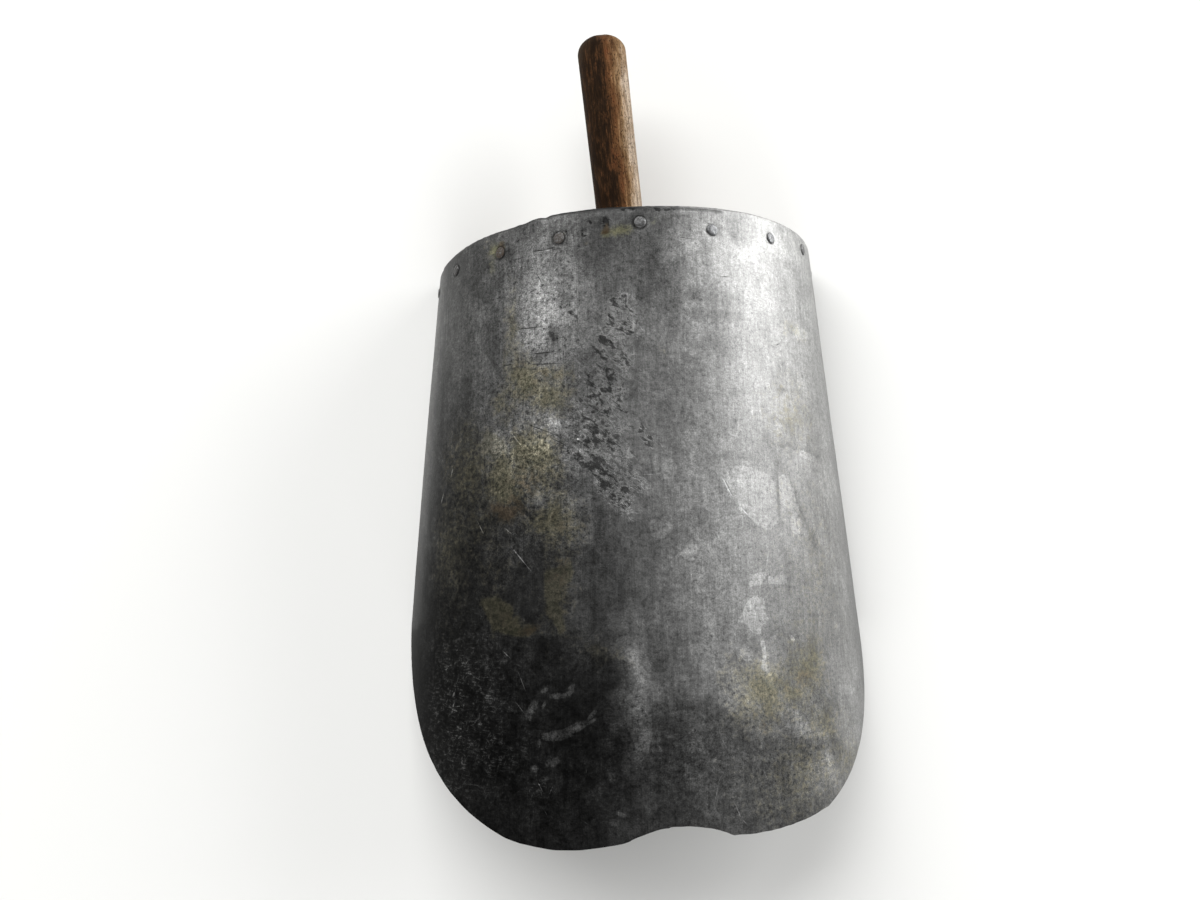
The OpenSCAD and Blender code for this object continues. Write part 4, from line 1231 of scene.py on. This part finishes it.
def alongNail(degrees, inset, local):
    # the nail's own frame to the row frame: Z square to the cone, Y along the cone's line
    angle, tip = math.radians(degrees), math.atan(flare)
    outwards = np.array([math.sin(angle) * math.cos(tip), math.sin(tip), math.cos(angle) * math.cos(tip)])
    lengthwise = np.array([-math.sin(angle) * math.sin(tip), math.cos(tip), -math.cos(angle) * math.sin(tip)])
    sideways = np.cross(lengthwise, outwards)
    along = float(alongAtBoard(angle, rimDepth)) - inset
    radius = build["backR"] - flare * along
    foot = np.array([radius * math.sin(angle), along, radius * math.cos(angle)])
    inCone = foot + local[..., :1] * sideways + local[..., 1:2] * lengthwise + local[..., 2:] * outwards
    return fromCone(inCone[..., 0], inCone[..., 1], inCone[..., 2])


def makeNails(material):
    # Each nail is a profile turned about its own line: a hammered head, its underside, the shank and
    # the point.
    look = nailLook
    around = np.arange(look["columns"]) * 2 * math.pi / look["columns"]
    depths = (0, -6, -13, look["pointLong"] - look["shankLong"])
    shank = [(look["shankR"], depth) for depth in depths]
    shank = np.array(shank + [(look["pointR"], -look["shankLong"]), (0.0, -look["shankLong"])])
    points, quads, rust, dark, edge, start = [], [], [], [], [], 0
    for number, (spot, head) in enumerate(zip(nails, look["heads"])):
        high, tilt, tiltTo, rusty, darkness = head
        headR, headZ = hammeredHead(number, high, tilt, tiltTo, around)
        r = np.concatenate([headR, shank[:, :1] + 0 * around])
        z = np.concatenate([headZ, shank[:, 1:] + 0 * around]) + look["raised"]
        placed = alongNail(*spot, np.stack([r * np.cos(around), r * np.sin(around), z], -1))
        quads.append(gridQuads(len(r), look["columns"], wrapColumns=True, start=start))
        points.append(placed.reshape(-1, 3))
        rust.append(np.full(r.size, rusty))
        dark.append(np.full(r.size, darkness))
        edge.append((r / look["headR"] * (z > 0)).ravel())
        start += r.size
    fields = dict(rust=np.concatenate(rust), dark=np.concatenate(dark), edge=np.concatenate(edge))
    return buildPiece("rimNails", np.concatenate(points), np.concatenate(quads), material, fields=fields)


def nailMaterial(look):
    # Galvanised clout nails gone the grey of the sheet, rusty where the zinc is gone
    material, tree, add = startMaterial("zincedNailWorn")
    fleck = patterns(tree, add("TexCoord", out=3), dict(fleck=(0.9, 5, 0.65, 0, 1, 0)))["fleck"]
    field = {name: add("Attribute", attribute_name=name, out=2) for name in ("dark", "rust", "edge")}
    dull = add("Math", field["dark"], add("MapRange", fleck, -0.25, 0.05, 0.4, 1.0, **soft), **times)
    rusty = add("Math", field["rust"], add("MapRange", fleck, -0.15, 0.05, **soft), **times)
    rim = add("Math", add("MapRange", field["edge"], 0.86, 0.98, **soft), 0.55, **times)
    zinc = add("MapRange", fleck, -0.15, 0.15, **soft)
    colour = paintOver(tree, linear(look["worn"]), ((zinc, look["zinc"]), (dull, look["dull"]),
                                                    (rusty, look["rust"]), (rim, look["dirt"])))
    bump = add("Bump", {"Strength": 1.0, "Distance": 0.12 * mm, "Height": fleck})
    metal = addUp(tree, 0.95, ((rusty, -0.8), (dull, -0.2)))
    rough = addUp(tree, 0.44, ((fleck, 0.2), (rusty, 0.2)))
    shader = add("BsdfPrincipled", {"Base Color": colour, "Metallic": metal, "Roughness": rough,
                                    "Normal": bump})
    add("OutputMaterial", {"Surface": shader})
    return material


nailPiece = makeNails(nailMaterial(nailLook))
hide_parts("rim_nails")
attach(nailPiece, "root")
print("nails made:", len(nailPiece.data.polygons), "faces")


# The studio: pale floor, soft lights and the photograph's camera

studio = dict(
    floorHalf=40.0, floorColour="#dededc",
    cameraPlace=(-0.0522, -0.2279, 0.6249),
    cameraRight=(0.9985, -0.0292, 0.0462), cameraUp=(0.0198, 0.9808, 0.1939),
    cameraBack=(-0.0509, -0.1927, 0.9799),
    lens=30.0, sensor=36.0,
    # lights: direction from the scoop's middle, distance, width, height, power
    middle=(0.0, -0.12, 0.06),
    key=((0.84, 0.42, 0.27), 3.4, 3.0, 1.7, 150.0),
    back=((-0.30, 0.68, 0.67), 4.0, 4.4, 2.8, 215.0),
    left=((-0.80, 0.42, 0.43), 3.6, 1.2, 1.8, 22.0),
    front=((-0.20, -0.88, 0.42), 3.4, 3.0, 1.2, 60.0),
    bowl=((0.05, -0.99, 0.10), 3.2, 1.8, 0.5, 40.0),        # low, to reach into the bowl
    air=0.15,                                               # light from all round
    backdrop=0.98, fadeFrom=0.9, fadeTo=2.8,                # the floor fades into the backdrop, in metres
)


def makeStudio():
    # a square floor, softboxes that face the scoop's middle, even air, and the camera
    half = studio["floorHalf"]
    mesh = bpy.data.meshes.new("floor")
    corners = [(-half, -half, 0), (half, -half, 0), (half, half, 0), (-half, half, 0)]
    mesh.from_pydata(corners, [], [(0, 1, 2, 3)])
    floorMaterial, tree, add = startMaterial("palePaper")
    paper = add("BsdfPrincipled", {"Base Color": linear(studio["floorColour"]), "Roughness": 0.9,
                                   "Specular IOR Level": 0.1})
    away = add("VectorMath", add("TexCoord", out=3), operation="LENGTH", out=1)
    far = add("MapRange", away, studio["fadeFrom"], studio["fadeTo"], **soft)
    backdrop = add("Emission", {"Strength": studio["backdrop"]})
    faded = add("MixShader", add("Math", far, add("LightPath"), **times), paper, backdrop)
    add("OutputMaterial", {"Surface": faded})
    mesh.materials.append(floorMaterial)
    floor = bpy.data.objects.new("floor", mesh)
    bpy.context.scene.collection.objects.link(floor)

    for name in ("key", "back", "left", "front", "bowl"):
        direction, distance, wide, high, power = studio[name]
        lamp = bpy.data.lights.new(name + "Softbox", "AREA")
        lamp.shape, lamp.size, lamp.size_y, lamp.energy = "RECTANGLE", wide, high, power
        holder = bpy.data.objects.new(name + "Softbox", lamp)
        bpy.context.scene.collection.objects.link(holder)
        towards = unit(np.array(direction))
        holder.location = np.array(studio["middle"]) + towards * distance
        holder.rotation_mode = "QUATERNION"
        holder.rotation_quaternion = Vector(towards).to_track_quat("Z", "Y")

    world = bpy.data.worlds.new("studioAir")
    world.use_nodes = True
    # the air lights the scoop dimly, while the camera sees a paler backdrop
    background = world.node_tree.nodes["Background"]
    background.inputs["Color"].default_value = (1, 1, 1, 1)
    seen = addNode(world.node_tree, "LightPath")
    lit = addNode(world.node_tree, "MapRange", seen, 0.0, 1.0, studio["air"], studio["backdrop"])
    world.node_tree.links.new(lit, background.inputs["Strength"])
    bpy.context.scene.world = world
    bpy.context.scene.view_settings.view_transform = "Standard"

    camera = bpy.data.objects.new("camera", bpy.data.cameras.new("camera"))
    camera.data.lens, camera.data.sensor_width = studio["lens"], studio["sensor"]
    camera.data.sensor_fit = "HORIZONTAL"
    camera.data.clip_start, camera.data.clip_end = 0.01, 200
    turn = np.stack([unit(np.array(studio[k])) for k in ("cameraRight", "cameraUp", "cameraBack")], 1)
    placed = np.eye(4)
    placed[:3, :3], placed[:3, 3] = turn, studio["cameraPlace"]
    camera.matrix_world = Matrix(placed.tolist())
    bpy.context.scene.collection.objects.link(camera)
    bpy.context.scene.camera = camera


makeStudio()
print("studio made")
